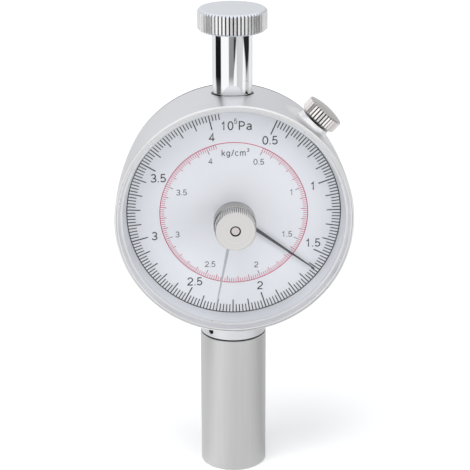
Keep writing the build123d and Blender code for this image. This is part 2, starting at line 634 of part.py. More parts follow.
def pointer_arbor():
    tip_r = ARBOR_R - ARBOR_POINT
    return turned_y((0, ARBOR_FRONT_Y), (tip_r, ARBOR_FRONT_Y), (ARBOR_R, ARBOR_FRONT_Y + ARBOR_POINT),
                    (ARBOR_R, ARBOR_BACK_Y - ARBOR_POINT), (tip_r, ARBOR_BACK_Y), (0, ARBOR_BACK_Y))


def pinion_outline():
    """Involute teeth, with radial flanks below the base circle."""
    base_r = PITCH_R * cos(radians(PRESSURE_ANGLE))
    tip_r = PITCH_R + ADDENDUM
    root_r = PITCH_R - DEDENDUM

    def involute(r):
        slope = acos(min(1.0, base_r / r))
        return tan(slope) - slope

    at_pitch = (TOOTH_PITCH / 2 - TOOTH_SLACK) / 2 / PITCH_R + involute(PITCH_R)
    flank = [(r, at_pitch - involute(r)) for r in (root_r, base_r, PITCH_R, PITCH_R + ADDENDUM / 2, tip_r)]
    corners = []
    for tooth in range(PINION_TEETH):
        middle = (tooth + 0.5) * 2 * pi / PINION_TEETH + pi
        for r, half in flank:
            corners.append((r, middle - half))
        for r, half in reversed(flank):
            corners.append((r, middle + half))
    return [(r * cos(turn), r * sin(turn)) for r, turn in corners]


def pinion():
    teeth = extrude(make_face(Polyline(*pinion_outline(), close=True)), PINION_W)
    teeth -= rod(ARBOR_R + SEAT / 2, -CUT, PINION_W + CUT)
    return Pos(0, MESH_MID_Y + PINION_W / 2, 0) * facing(teeth)


def rack_outline():
    """(x, z) outline of the rack, with a tooth centred on z = 0 and its back to the left."""
    lean = tan(radians(PRESSURE_ANGLE))
    tip_x = -PITCH_R + RACK_ADDENDUM
    root_x = -PITCH_R - ADDENDUM - TOOTH_SLACK
    half = (TOOTH_PITCH / 2 - TOOTH_SLACK) / 2
    tip_half = half - RACK_ADDENDUM * lean
    root_half = half + (ADDENDUM + TOOTH_SLACK) * lean
    below = int(TRAVEL / TOOTH_PITCH) + RACK_TEETH_BELOW
    corners = []
    for tooth in range(-below, RACK_TEETH_ABOVE + 1):
        z = tooth * TOOTH_PITCH
        corners += [(root_x, z - root_half), (tip_x, z - tip_half),
                    (tip_x, z + tip_half), (root_x, z + root_half)]
    top = corners[-1][1] + RACK_END
    back_x = root_x - RACK_BACK_T
    return corners + [(root_x, top), (back_x, top), (back_x, CARRIER_BOTTOM_Z), (root_x, CARRIER_BOTTOM_Z)]


def rack():
    bar = extrude(make_face(Polyline(*rack_outline(), close=True)), RACK_W)
    bar = Pos(0, RACK_REAR_Y, 0) * facing(bar)
    sink_y = RACK_FRONT_Y + RACK_SCREW_HEAD_T
    for z in rack_screw_heights():
        bar -= Pos(RACK_SCREW_X, 0, z) * disc(SMALL_SCREW_R, RACK_FRONT_Y - CUT, RACK_REAR_Y + CUT)
        bar -= Pos(RACK_SCREW_X, 0, z) * disc(RACK_SCREW_HEAD_R, RACK_FRONT_Y - CUT, sink_y)
    return bar


def rack_screw_heights():
    return (CARRIER_BOTTOM_Z + CARRIER_H * 0.25, CARRIER_BOTTOM_Z + CARRIER_H * 0.75)


def rack_screws():
    shank = disc(SMALL_SCREW_R - SEAT, RACK_FRONT_Y, RACK_REAR_Y + SMALL_GRIP)
    head = disc(RACK_SCREW_HEAD_R - SEAT, RACK_FRONT_Y, RACK_FRONT_Y + RACK_SCREW_HEAD_T - SEAT)
    return [Pos(RACK_SCREW_X, 0, z) * (shank + head) for z in rack_screw_heights()]


# ------------------------------------------------------------------ plunger
def plunger_rod():
    body = turned_z((0, ROD_TOP_Z), (ROD_UPPER_R - ROD_LEAD, ROD_TOP_Z), (ROD_UPPER_R, ROD_TOP_Z - ROD_LEAD),
                    (ROD_UPPER_R, ROD_STEP_Z), (ROD_MID_R, ROD_STEP_Z), (ROD_MID_R, CARRIER_BOTTOM_Z),
                    (ROD_LOWER_R, CARRIER_BOTTOM_Z), (ROD_LOWER_R, ROD_END_Z + ROD_LEAD),
                    (ROD_LOWER_R - ROD_LEAD, ROD_END_Z), (0, ROD_END_Z))
    return body - rod(ROD_THREAD_R, ROD_END_Z - CUT, ROD_END_Z + ROD_THREAD_L)


def rack_carrier():
    depth = CARRIER_BACK_Y - RACK_REAR_Y - SEAT
    mid_y = (CARRIER_BACK_Y + RACK_REAR_Y + SEAT) / 2
    block = Pos(0, mid_y, GUIDE_PIN_Z) * Box(2 * CARRIER_X, depth, CARRIER_H - 2 * SEAT)
    block = fillet(block.edges().filter_by(Axis.Z), CARRIER_ROUND)
    block -= rod(ROD_MID_R + SEAT / 2, CARRIER_BOTTOM_Z - CUT, CARRIER_TOP_Z + CUT)
    for z in rack_screw_heights():
        hole = disc(SMALL_SCREW_R, RACK_REAR_Y - CUT, RACK_REAR_Y + SMALL_HOLE_DEPTH)
        block -= Pos(RACK_SCREW_X, 0, z) * hole
    pin_hole = Rot(0, 90, 0) * rod(GUIDE_PIN_R + SEAT / 2, ROD_MID_R, CARRIER_X + CUT)
    return block - Pos(0, 0, GUIDE_PIN_Z) * pin_hole


def guide_pin():
    pin = rod(GUIDE_PIN_R, ROD_MID_R + SLIP, GUIDE_PIN_END_X)
    pin = chamfer(pin.edges().sort_by(Axis.Z)[-1], GUIDE_PIN_CHAMFER)
    return Pos(0, 0, GUIDE_PIN_Z) * Rot(0, 90, 0) * pin


def guide_rail():
    """Channel that keeps the carrier from turning. Its closed ends are the plunger's stops."""
    slot_bottom = GUIDE_PIN_Z - GUIDE_PIN_R - STOP_GAP
    slot_top = GUIDE_PIN_Z + TRAVEL + GUIDE_PIN_R + STOP_GAP
    low, high = slot_bottom - RAIL_WALL, slot_top + RAIL_WALL
    front_y = PLATE_BACK_Y + SEAT
    body = Pos((RAIL_X0 + RAIL_X1) / 2, (front_y + RAIL_BACK_Y) / 2, (low + high) / 2) * Box(
        RAIL_X1 - RAIL_X0, RAIL_BACK_Y - front_y, high - low)
    slot_w = 2 * (GUIDE_PIN_R + RUN)
    depth = GUIDE_PIN_END_X + AIR - RAIL_X0
    body -= Pos(RAIL_X0 + (depth - CUT) / 2, 0, (slot_bottom + slot_top) / 2) * Box(
        depth + CUT, slot_w, slot_top - slot_bottom)
    for z in rail_screw_heights():
        body -= Pos(rail_screw_x(), 0, z) * disc(SMALL_SCREW_R, front_y - CUT, front_y + SMALL_HOLE_DEPTH)
    return body


def rail_screw_x():
    return (RAIL_X0 + RAIL_X1) / 2


def rail_screw_heights():
    middle = GUIDE_PIN_Z + TRAVEL / 2
    return (middle - TRAVEL / 2, middle + TRAVEL / 2)


def spring_seat():
    seat = tube(SPRING_SEAT_R, ROD_UPPER_R + SEAT / 2, SPRING_SEAT_Z - SPRING_SEAT_T, SPRING_SEAT_Z)
    return chamfer(seat.edges().filter_by(GeomType.CIRCLE).sort_by(Axis.Z)[0], SPRING_SEAT_CHAMFER)


def measuring_spring():
    """Compression coil between the seat on the rod and the upper bush."""
    bottom = SPRING_SEAT_Z + SPRING_WIRE / 2 + SEAT
    top = UPPER_BUSH_FLANGE_Z - UPPER_BUSH_FLANGE_T - SPRING_WIRE / 2 - SEAT
    coil = Helix(pitch=(top - bottom) / SPRING_TURNS, height=top - bottom, radius=SPRING_MEAN_R)
    wire = Plane(origin=coil @ 0, z_dir=coil % 0) * Circle(SPRING_WIRE / 2)
    return Pos(0, 0, bottom) * sweep(wire, path=coil)


def indenter():
    """Screw-in tip with a depth line; its stud goes up into the rod."""
    head_bottom = ROD_END_Z - HEAD_L
    head = Pos(0, 0, head_bottom) * knurled_head(HEAD_R, HEAD_RIB_DEPTH, HEAD_RIBS, HEAD_L - SEAT, HEAD_BEVEL)
    shoulder_r = HEAD_R - TIP_SHOULDER_IN
    stem = turned_z((0, head_bottom + LAP), (shoulder_r, head_bottom + LAP), (shoulder_r, head_bottom),
                    (TIP_R, TIP_END_Z + TIP_L), (TIP_R, TIP_END_Z + TIP_ROUND),
                    (TIP_R - TIP_ROUND, TIP_END_Z), (0, TIP_END_Z))
    stud = rod(ROD_THREAD_R - SEAT, ROD_END_Z - LAP, ROD_END_Z + ROD_THREAD_L - LAP)
    mark_z = TIP_END_Z + TIP_MARK
    mark = tube(TIP_R + CUT, TIP_R - TIP_MARK_DEPTH, mark_z - TIP_MARK_W / 2, mark_z + TIP_MARK_W / 2)
    return head + stem + stud - mark


# ------------------------------------------------------------------ movement frame
def movement_plate():
    plate = disc(PLATE_R, PLATE_FRONT_Y, PLATE_BACK_Y)
    front_y, back_y = PLATE_FRONT_Y - CUT, PLATE_BACK_Y + CUT
    plate -= disc(ARBOR_BUSH_R + SEAT, front_y, back_y)
    for x, z in clock_points(PILLAR_PCR, SCREW_TURNS):
        plate -= Pos(x, 0, z) * disc(PLATE_SCREW_R + SLIP, front_y, back_y)
    for x, z in small_screw_places():
        plate -= Pos(x, 0, z) * disc(SMALL_SCREW_R + SLIP, front_y, back_y)
    return plate


def small_screw_places():
    """(x, z) of the screws through the plate into the rail and the bridge pillars."""
    rail = [(rail_screw_x(), z) for z in rail_screw_heights()]
    return rail + [(BRIDGE_PILLAR_X, 0.0), (-BRIDGE_PILLAR_X, 0.0)]


def plate_pillars():
    pillar = ring(PILLAR_R, PLATE_SCREW_R + SLIP, PLATE_BACK_Y + SEAT, WEB_FRONT_Y - SEAT)
    return [Pos(x, 0, z) * pillar for x, z in clock_points(PILLAR_PCR, SCREW_TURNS)]


def plate_screws():
    length = WEB_BACK_Y - PLATE_HOLE_FLOOR - SEAT - PLATE_FRONT_Y
    piece = Pos(0, PLATE_FRONT_Y - SEAT, 0) * facing(
        screw(PLATE_SCREW_R - SEAT, length, PLATE_SCREW_HEAD_R, SCREW_HEAD_T))
    return [Pos(x, 0, z) * piece for x, z in clock_points(PILLAR_PCR, SCREW_TURNS)]


def movement_screws():
    piece = Pos(0, PLATE_FRONT_Y - SEAT, 0) * facing(
        screw(SMALL_SCREW_R - SEAT, PLATE_T + SMALL_GRIP, SMALL_HEAD_R, SMALL_HEAD_T))
    return [Pos(x, 0, z) * piece for x, z in small_screw_places()]


def arbor_bush():
    bush = disc(ARBOR_BUSH_R, PLATE_FRONT_Y - ARBOR_BUSH_FLANGE_T, PLATE_BACK_Y)
    bush += disc(ARBOR_BUSH_FLANGE_R, PLATE_FRONT_Y - ARBOR_BUSH_FLANGE_T, PLATE_FRONT_Y - SEAT)
    return bush - disc(ARBOR_R + RUN, PLATE_FRONT_Y - CUT, PLATE_BACK_Y + CUT)


def arbor_bridge():
    mid_y = (BRIDGE_FRONT_Y + BRIDGE_BACK_Y) / 2
    length = 2 * BRIDGE_PILLAR_X
    bar = Pos(0, mid_y, 0) * Box(length, BRIDGE_T, BRIDGE_W)
    for x in (-BRIDGE_PILLAR_X, BRIDGE_PILLAR_X):
        bar += Pos(x, 0, 0) * disc(BRIDGE_W / 2, BRIDGE_FRONT_Y, BRIDGE_BACK_Y)
        bar -= Pos(x, 0, 0) * disc(SMALL_SCREW_R, BRIDGE_FRONT_Y - CUT, BRIDGE_BACK_Y + CUT)
    return bar - disc(ARBOR_R + RUN, BRIDGE_FRONT_Y - CUT, BRIDGE_BACK_Y + CUT)


def bridge_pillars():
    pillar = disc(BRIDGE_PILLAR_R, PLATE_BACK_Y + SEAT, BRIDGE_FRONT_Y - SEAT)
    pillar += disc(SMALL_SCREW_R - SEAT, BRIDGE_FRONT_Y - SLIP, BRIDGE_BACK_Y)
    pillar -= disc(SMALL_SCREW_R, PLATE_BACK_Y - CUT, PLATE_BACK_Y + SMALL_GRIP + SLIP)
    return [Pos(x, 0, 0) * pillar for x in (-BRIDGE_PILLAR_X, BRIDGE_PILLAR_X)]


def hairspring():
    """Flat spiral round the collet, its outer end at the stud."""
    def arm(offset):
        points = []
        steps = int(SPIRAL_TURNS * SPIRAL_STEPS)
        for step in range(steps + 1):
            share = step / steps
            r = SPIRAL_IN_R + offset + (SPIRAL_OUT_R - SPIRAL_IN_R) * share
            turn = 2 * pi * SPIRAL_TURNS * share
            points.append((r * cos(turn), r * sin(turn)))
        return points

    inner, outer = arm(0), arm(SPIRAL_STRIP)
    ends = [Line(inner[-1], outer[-1]), Line(outer[0], inner[0])]
    strip = extrude(make_face([Spline(*inner), ends[0], Spline(*outer), ends[1]]), SPIRAL_W)
    return Pos(0, HAIRSPRING_Y + SPIRAL_W, 0) * facing(strip)


def hairspring_stud():
    post = disc(STUD_R, HAIRSPRING_Y - STUD_STAND, PLATE_FRONT_Y - SEAT)
    return Pos(SPIRAL_OUT_R + SPIRAL_STRIP + STUD_R + SEAT, 0, 0) * post


def hairspring_collet():
    return ring(COLLET_R, ARBOR_R + SEAT / 2, HAIRSPRING_Y - STUD_STAND, HAIRSPRING_Y + SPIRAL_W)


# ------------------------------------------------------------------ side clamp
def side_knob():
    neck = rod(SIDE_NECK_R, HEAD_START - SIDE_NECK_L, HEAD_START + LAP)
    head = knurled_head(SIDE_HEAD_R, SIDE_RIB_DEPTH, SIDE_RIBS, SIDE_HEAD_L, SIDE_CHAMFER, SIDE_DOME)
    bore = rod(SIDE_SCREW_R - RUN + SEAT / 2, 0, HEAD_START + SIDE_SCREW_GRIP)
    return at_side(neck + Pos(0, 0, HEAD_START) * head - bore)


def side_screw():
    return at_side(rod(SIDE_SCREW_R - RUN, SHOE_TOP + SEAT, HEAD_START + SIDE_SCREW_GRIP - SEAT))


def clamp_shoe():
    return at_side(rod(SIDE_SHOE_R, SHOE_TIP, SHOE_TOP))


# ------------------------------------------------------------------ cover screws
def back_cover_screws():
    seat_y = BACK_Y + COVER_T - COVER_HEAD_SINK + SEAT
    piece = Pos(0, seat_y, 0) * Rot(-90, 0, 0) * screw(
        COVER_SCREW_R - SEAT, COVER_SCREW_L, COVER_HEAD_R, COVER_HEAD_T)
    return [Pos(x, 0, z) * piece for x, z in clock_points(COVER_SCREW_PCR, SCREW_TURNS)]


# ------------------------------------------------------------------ assembly
PARTS = {
    "case_body": case_body, "back_cover": back_cover, "back_cover_screws": back_cover_screws,
    "movement_plate": movement_plate, "plate_pillars": plate_pillars, "plate_screws": plate_screws,
    "movement_screws": movement_screws, "arbor_bridge": arbor_bridge, "bridge_pillars": bridge_pillars,
    "arbor_bush": arbor_bush, "hairspring": hairspring, "hairspring_stud": hairspring_stud,
    "guide_rail": guide_rail, "upper_guide_bush": upper_guide_bush, "handle_post": handle_post,
    "handle_knob": handle_knob, "lower_guide_bush": lower_guide_bush, "collar_set_screw": collar_set_screw,
    "bezel_snap_ring": bezel_snap_ring,
    "plunger_rod": plunger_rod, "rack": rack, "rack_carrier": rack_carrier, "rack_screws": rack_screws,
    "guide_pin": guide_pin, "spring_seat": spring_seat, "measuring_spring": measuring_spring,
    "indenter": indenter,
    "pointer_arbor": pointer_arbor, "pinion": pinion, "hairspring_collet": hairspring_collet,
    "main_pointer": main_pointer,
    "bezel_ring": bezel_ring, "crystal": crystal, "dial_spacer_ring": dial_spacer_ring,
    "dial_plate": dial_plate, "crystal_bush": crystal_bush, "crystal_nut": crystal_nut,
    "reset_knob": reset_knob, "reset_washer": reset_washer, "reset_spindle": reset_spindle,
    "peak_pointer": peak_pointer,
    "clamp_shoe": clamp_shoe, "side_knob": side_knob, "side_screw": side_screw,
    "guard_sleeve": guard_sleeve,
}

os.makedirs("parts", exist_ok=True)
for name, build in PARTS.items():
    made = build()
    shape = Compound(children=list(made)) if isinstance(made, list) else made
    export_step(Pos(0, 0, LIFT) * shape, f"parts/{name}.step")
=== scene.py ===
"""Looks of a hand-held dial hardness tester: plated case, printed dial, knurled knobs and guard sleeve.

Lengths are in metres and +Z is up the plunger. The dial faces -Y.
"""
import math

import bmesh
import bpy
from mathutils import Matrix, Vector


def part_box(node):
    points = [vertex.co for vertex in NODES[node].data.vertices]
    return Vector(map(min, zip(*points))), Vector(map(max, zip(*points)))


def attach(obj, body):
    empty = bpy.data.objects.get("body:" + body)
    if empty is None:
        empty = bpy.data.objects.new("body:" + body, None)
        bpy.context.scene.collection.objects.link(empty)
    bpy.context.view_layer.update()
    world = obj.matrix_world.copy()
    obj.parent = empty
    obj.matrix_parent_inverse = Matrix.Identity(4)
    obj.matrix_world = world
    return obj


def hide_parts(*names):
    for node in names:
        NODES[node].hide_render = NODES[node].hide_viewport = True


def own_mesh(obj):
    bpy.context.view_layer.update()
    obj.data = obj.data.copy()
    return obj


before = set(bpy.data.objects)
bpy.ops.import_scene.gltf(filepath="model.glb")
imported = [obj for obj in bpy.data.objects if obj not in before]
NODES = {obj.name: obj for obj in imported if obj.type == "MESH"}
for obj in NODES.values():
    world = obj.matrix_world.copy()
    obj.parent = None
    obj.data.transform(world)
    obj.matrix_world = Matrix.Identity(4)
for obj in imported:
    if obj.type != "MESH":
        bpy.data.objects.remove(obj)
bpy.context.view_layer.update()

MM = 0.001

# ---------------------------------------------------------------- the tester's own sizes
DIAL_Z = 72.76 * MM         # height of the dial's centre
DIAL_FACE_Y = -8.12 * MM    # printed face of the dial
INK_T = 0.012 * MM          # thickness of the printed ink
SIDE_TURN = math.radians(42)  # the clamp screw, clockwise from 12 o'clock
SIDE_Y = -4.4 * MM
BOSS_FOOT_R = 29 * MM       # distance of the boss's foot from the dial's centre
BACK_Y = 12.2 * MM          # back edge of the case's wall
CENTRE = (0, 0, DIAL_Z)

# measuring spring
COIL_R = 2.8 * MM
WIRE_R = 0.25 * MM
COIL_TURNS = 8

# camera
SENSOR = 36                 # mm
LENS = 132.95               # mm on that sensor
CAMERA_FAR = 450.18 * MM
CAMERA_UP = math.radians(20.189)
CAMERA_ROUND = math.radians(-1.7939)
CAMERA_ROLL = math.radians(-0.1537)
CAMERA_AIM = Vector((0.538 * MM, 0, DIAL_Z - 8.843 * MM))


# ---------------------------------------------------------------- materials
def linear(hex_colour):
    """sRGB hex to linear RGBA."""
    parts = [int(hex_colour[i:i + 2], 16) / 255 for i in (0, 2, 4)]
    return (*[c / 12.92 if c <= 0.04045 else ((c + 0.055) / 1.055) ** 2.4 for c in parts], 1.0)


def add(tree, kind, inputs=None, **settings):
    """Adds a node, sets its properties, and sets or links its inputs by name or number."""
    made = tree.nodes.new(kind)
    for key, value in settings.items():
        setattr(made, key, value)
    for key, value in (inputs or {}).items():
        if isinstance(value, bpy.types.NodeSocket):
            tree.links.new(value, made.inputs[key])
        else:
            made.inputs[key].default_value = value
    return made


def new_material(name):
    """An empty node material and its tree."""
    material = bpy.data.materials.new(name)
    material.use_nodes = True
    material.node_tree.nodes.clear()
    return material, material.node_tree


def tones(colour, spread):
    """A colour made darker and lighter by the same share."""
    base = linear(colour)[:3]
    dark = tuple(c * (1 - spread) for c in base) + (1.0,)
    light = tuple(min(c * (1 + spread), 1) for c in base) + (1.0,)
    return dark, light


SHADE_COLOUR = "2C2D31"             # painted shade: the dark colour that seams, feet and recesses are painted with
LIGHT_COLOUR = "FBFBFC"           # painted light: the pale colour that lightened zones are painted with


def nearness(tree, place, zone):
    """1 where a point is in a zone, fading to 0 outside it.

    A zone is a centre, the axes that count, and the distances in mm at which it starts and is full.
    """
    centre, axes, start, full = zone
    local = add(tree, "ShaderNodeVectorMath", {0: place, 1: centre}, operation="SUBTRACT").outputs["Vector"]
    flat = add(tree, "ShaderNodeVectorMath", {0: local, 1: axes}, operation="MULTIPLY").outputs["Vector"]
    away = add(tree, "ShaderNodeVectorMath", {0: flat}, operation="LENGTH").outputs["Value"]
    return add(tree, "ShaderNodeMapRange", {
        "Value": away, "From Min": start * MM, "From Max": full * MM}).outputs["Result"]


def paint_shade(tree, place, clean, zones):
    """The clean colour, painted darker towards the shade colour inside each zone: painted shade."""
    colour = clean
    for zone in zones:
        shaded = nearness(tree, place, zone)
        colour = add(tree, "ShaderNodeMix", {
            0: shaded, 6: colour, 7: linear(SHADE_COLOUR)}, data_type="RGBA").outputs[2]
    return colour


SATIN_GRIT = 0.16 * MM      # drawn size of the blasted grit, which is some 0.05 mm on the real one
SATIN_CLOUD = 0.04          # how far the roughness drifts either way
DRIFT = 9 * MM              # size of the patches in which it drifts


def satin_plate(name, colour, roughness, relief_mm=0.01, joints=(), light_zones=()):
    """Metal blasted to a fine satin and then plated: a soft sheen with a faint pearly grit.

    The grit is drawn coarser than it is so that it still shows. Each zone in the shade list is painted
    darker, as painted shade, and each zone in the light list lighter, as painted light.
    """
    material, tree = new_material(name)
    place = add(tree, "ShaderNodeTexCoord").outputs["Object"]
    grit = add(tree, "ShaderNodeTexNoise", {"Vector": place, "Scale": 1 / SATIN_GRIT, "Detail": 2.0})
    drift = add(tree, "ShaderNodeTexNoise", {"Vector": place, "Scale": 1 / DRIFT, "Detail": 3.0})
    rough = add(tree, "ShaderNodeMapRange", {
        "Value": drift.outputs["Fac"], "From Min": 0.3, "From Max": 0.7,
        "To Min": roughness - SATIN_CLOUD, "To Max": roughness + SATIN_CLOUD})
    bump = add(tree, "ShaderNodeBump", {
        "Height": grit.outputs["Fac"], "Distance": relief_mm * MM, "Strength": 0.5})
    tone = linear(colour)
    # painted light: the colour is made lighter inside these zones
    for zone in light_zones:
        lightened = nearness(tree, place, zone)
        tone = add(tree, "ShaderNodeMix", {
            0: lightened, 6: tone, 7: linear(LIGHT_COLOUR)}, data_type="RGBA").outputs[2]
    # painted shade: the colour is made darker inside the shade zones
    shader = add(tree, "ShaderNodeBsdfPrincipled", {
        "Base Color": paint_shade(tree, place, tone, joints), "Metallic": 1.0,
        "Roughness": rough.outputs["Result"], "Normal": bump.outputs["Normal"]})
    add(tree, "ShaderNodeOutputMaterial", {"Surface": shader.outputs["BSDF"]})
    return material


SMEAR = 2.5 * MM            # size of a finger's smear
SMEAR_ROUGHNESS = 0.03      # how much it dulls the mirror


def bright_plate(name, colour, roughness, joints=()):
    """Polished bright plate: a mirror with the slightest haze from handling."""
    material, tree = new_material(name)
    place = add(tree, "ShaderNodeTexCoord").outputs["Object"]
    smear = add(tree, "ShaderNodeTexNoise", {"Vector": place, "Scale": 1 / SMEAR, "Detail": 4.0})
    rough = add(tree, "ShaderNodeMapRange", {
        "Value": smear.outputs["Fac"], "From Min": 0.35, "From Max": 0.7,
        "To Min": roughness, "To Max": roughness + SMEAR_ROUGHNESS})
    # painted shade: the colour is made darker inside the shade zones
    shader = add(tree, "ShaderNodeBsdfPrincipled", {
        "Base Color": paint_shade(tree, place, linear(colour), joints), "Metallic": 1.0,
        "Roughness": rough.outputs["Result"]})
    add(tree, "ShaderNodeOutputMaterial", {"Surface": shader.outputs["BSDF"]})
    return material


TOOL_PITCH = 0.2 * MM       # spacing of the lathe's rings, drawn coarser than a fine cut so that it shows


def turned_metal(name, colour, roughness, axis, centre=(0, 0, 0), relief_mm=0.006, shade=0.08, knurl=None,
                 joints=()):
    """Metal faced on a lathe: fine rings round the axis, which the light picks out as a soft grain.

    knurl gives the radii in mm of the ribs' crests and roots, and their colours: the crests' colour is a
    painted highlight and the grooves' dark colour is painted shade.
    """
    material, tree = new_material(name)
    coordinates = add(tree, "ShaderNodeTexCoord").outputs
    place = coordinates["Object"]
    local = add(tree, "ShaderNodeVectorMath", {0: place, 1: centre}, operation="SUBTRACT").outputs["Vector"]
    along = add(tree, "ShaderNodeVectorMath", {0: local, 1: axis}, operation="DOT_PRODUCT").outputs["Value"]
    across = add(tree, "ShaderNodeVectorMath", {
        0: local, 1: axis}, operation="CROSS_PRODUCT").outputs["Vector"]
    radius = add(tree, "ShaderNodeVectorMath", {0: across}, operation="LENGTH").outputs["Value"]
    rings = add(tree, "ShaderNodeCombineXYZ", {"X": radius, "Y": along}).outputs["Vector"]
    grooves = add(tree, "ShaderNodeTexNoise", {"Vector": rings, "Scale": 1 / TOOL_PITCH, "Detail": 2.0})
    dark, light = tones(colour, shade)
    tone = add(tree, "ShaderNodeMix", {
        0: grooves.outputs["Fac"], 6: dark, 7: light}, data_type="RGBA").outputs[2]
    # painted shade: the colour is made darker inside the shade zones
    tone = paint_shade(tree, place, tone, joints)
    if knurl:
        crest, root, bright, groove_shade = knurl
        tilt = add(tree, "ShaderNodeVectorMath", {
            0: coordinates["Normal"], 1: axis}, operation="DOT_PRODUCT")
        lean = add(tree, "ShaderNodeMath", {0: tilt.outputs["Value"]}, operation="ABSOLUTE").outputs[0]
        side = add(tree, "ShaderNodeMapRange", {
            "Value": lean, "From Min": 0.5, "From Max": 0.3}).outputs["Result"]
        deep = add(tree, "ShaderNodeMapRange", {
            "Value": radius, "From Min": (crest * 0.5 + root * 0.5) * MM,
            "From Max": (crest * 0.05 + root * 0.95) * MM}).outputs["Result"]
        # painted highlight on the crests and painted shade in the grooves, on the ribs' sides
        ribs = add(tree, "ShaderNodeMix", {
            0: deep, 6: linear(bright), 7: linear(groove_shade)}, data_type="RGBA").outputs[2]
        tone = add(tree, "ShaderNodeMix", {0: side, 6: tone, 7: ribs}, data_type="RGBA").outputs[2]
    bump = add(tree, "ShaderNodeBump", {
        "Height": grooves.outputs["Fac"], "Distance": relief_mm * MM, "Strength": 0.5})
    shader = add(tree, "ShaderNodeBsdfPrincipled", {
        "Base Color": tone, "Metallic": 1.0, "Roughness": roughness, "Normal": bump.outputs["Normal"]})
    add(tree, "ShaderNodeOutputMaterial", {"Surface": shader.outputs["BSDF"]})
    return material


STREAK = 1.1 * MM           # width of a drawing streak
STREAK_SHADE = 0.05
TUBE_GRAIN = 0.2 * MM       # drawn coarser than the real matt grain


def drawn_tube(name, colour, roughness):
    """Drawn tube, satin plated: faint streaks along its length over a fine matt grain."""
    material, tree = new_material(name)
    place = add(tree, "ShaderNodeTexCoord").outputs["Object"]
    squeezed = add(tree, "ShaderNodeVectorMath", {0: place, 1: (1, 1, 0.06)}, operation="MULTIPLY")
    streaks = add(tree, "ShaderNodeTexNoise", {
        "Vector": squeezed.outputs["Vector"], "Scale": 1 / STREAK, "Detail": 3.0})
    grain = add(tree, "ShaderNodeTexNoise", {"Vector": place, "Scale": 1 / TUBE_GRAIN, "Detail": 2.0})
    dark, light = tones(colour, STREAK_SHADE)
    tone = add(tree, "ShaderNodeMix", {0: streaks.outputs["Fac"], 6: dark, 7: light}, data_type="RGBA")
    bump = add(tree, "ShaderNodeBump", {
        "Height": grain.outputs["Fac"], "Distance": 0.01 * MM, "Strength": 0.5})
    shader = add(tree, "ShaderNodeBsdfPrincipled", {
        "Base Color": tone.outputs[2], "Metallic": 1.0, "Roughness": roughness,
        "Normal": bump.outputs["Normal"]})
    add(tree, "ShaderNodeOutputMaterial", {"Surface": shader.outputs["BSDF"]})
    return material


PEEL = 0.4 * MM             # size of the orange-peel in sprayed lacquer
MOTTLE = 0.02


def lacquer(name, colour, roughness):
    """Sprayed lacquer or printed ink: an even colour with a barely visible orange-peel."""
    material, tree = new_material(name)
    place = add(tree, "ShaderNodeTexCoord").outputs["Object"]
    peel = add(tree, "ShaderNodeTexNoise", {"Vector": place, "Scale": 1 / PEEL, "Detail": 2.0})
    dark, light = tones(colour, MOTTLE)
    tone = add(tree, "ShaderNodeMix", {0: peel.outputs["Fac"], 6: dark, 7: light}, data_type="RGBA")
    bump = add(tree, "ShaderNodeBump", {
        "Height": peel.outputs["Fac"], "Distance": 0.004 * MM, "Strength": 0.3})
    shader = add(tree, "ShaderNodeBsdfPrincipled", {
        "Base Color": tone.outputs[2], "Roughness": roughness, "Normal": bump.outputs["Normal"]})
    add(tree, "ShaderNodeOutputMaterial", {"Surface": shader.outputs["BSDF"]})
    return material


def two_tone_lacquer(name, colour, tail_colour, roughness, zone):
    """Lacquer of one colour, with another inside a zone."""
    material, tree = new_material(name)
    place = add(tree, "ShaderNodeTexCoord").outputs["Object"]
    tone = add(tree, "ShaderNodeMix", {
        0: nearness(tree, place, zone), 6: linear(colour), 7: linear(tail_colour)},
        data_type="RGBA").outputs[2]
    shader = add(tree, "ShaderNodeBsdfPrincipled", {"Base Color": tone, "Roughness": roughness})
    add(tree, "ShaderNodeOutputMaterial", {"Surface": shader.outputs["BSDF"]})
    return material


def clear_acrylic(name):
    """Thin cast acrylic: it passes the light straight on, with a faint mirror that grows at the edges."""
    material, tree = new_material(name)
    open_way = add(tree, "ShaderNodeBsdfTransparent", {"Color": linear("FDFDFE")})
    mirror = add(tree, "ShaderNodeBsdfGlossy", {"Color": linear("FFFFFF"), "Roughness": 0.02})
    edge = add(tree, "ShaderNodeLayerWeight", {"Blend": 0.5})
    steep = add(tree, "ShaderNodeMath", {0: edge.outputs["Facing"], 1: 5.0}, operation="POWER")
    share = add(tree, "ShaderNodeMapRange", {"Value": steep.outputs[0], "To Min": 0.02, "To Max": 0.35})
    either = add(tree, "ShaderNodeMixShader", {
        0: share.outputs["Result"], 1: open_way.outputs["BSDF"], 2: mirror.outputs["BSDF"]})
    add(tree, "ShaderNodeOutputMaterial", {"Surface": either.outputs["Shader"]})
    return material


SIDE_AXIS = (math.sin(SIDE_TURN), 0, math.cos(SIDE_TURN))
SIDE_PLACE = (0, SIDE_Y, DIAL_Z)
BOSS_FOOT = (BOSS_FOOT_R * SIDE_AXIS[0], SIDE_Y, DIAL_Z + BOSS_FOOT_R * SIDE_AXIS[2])

# zones of painted light and painted shade, and of the pointer's pale tail paint, as nearness takes them
# painted shade: a dark line along the case's back edge, at the seam with the cover
BACK_SEAM = ((0, BACK_Y, 0), (0, 1, 0), 1.5, 1.1)
# painted light: the case round the side screw's boss is made lighter
BOSS = (BOSS_FOOT, (1, 1, 1), 8.5, 6.5)
# painted shade: a dark line on the cover's edge at the seam
COVER_SEAM = ((0, BACK_Y, 0), (0, 1, 0), 0.5, 0.3)
# painted light: the case's front rim is made lighter
FRONT_RIM = ((0, -14.6 * MM, 0), (0, 1, 0), 0.55, 0.35)
# painted shade: a dark ring on the case round the handle post's foot
POST_FOOT = ((0, 0.3 * MM, 0), (1, 1, 0), 5.5, 5.3)
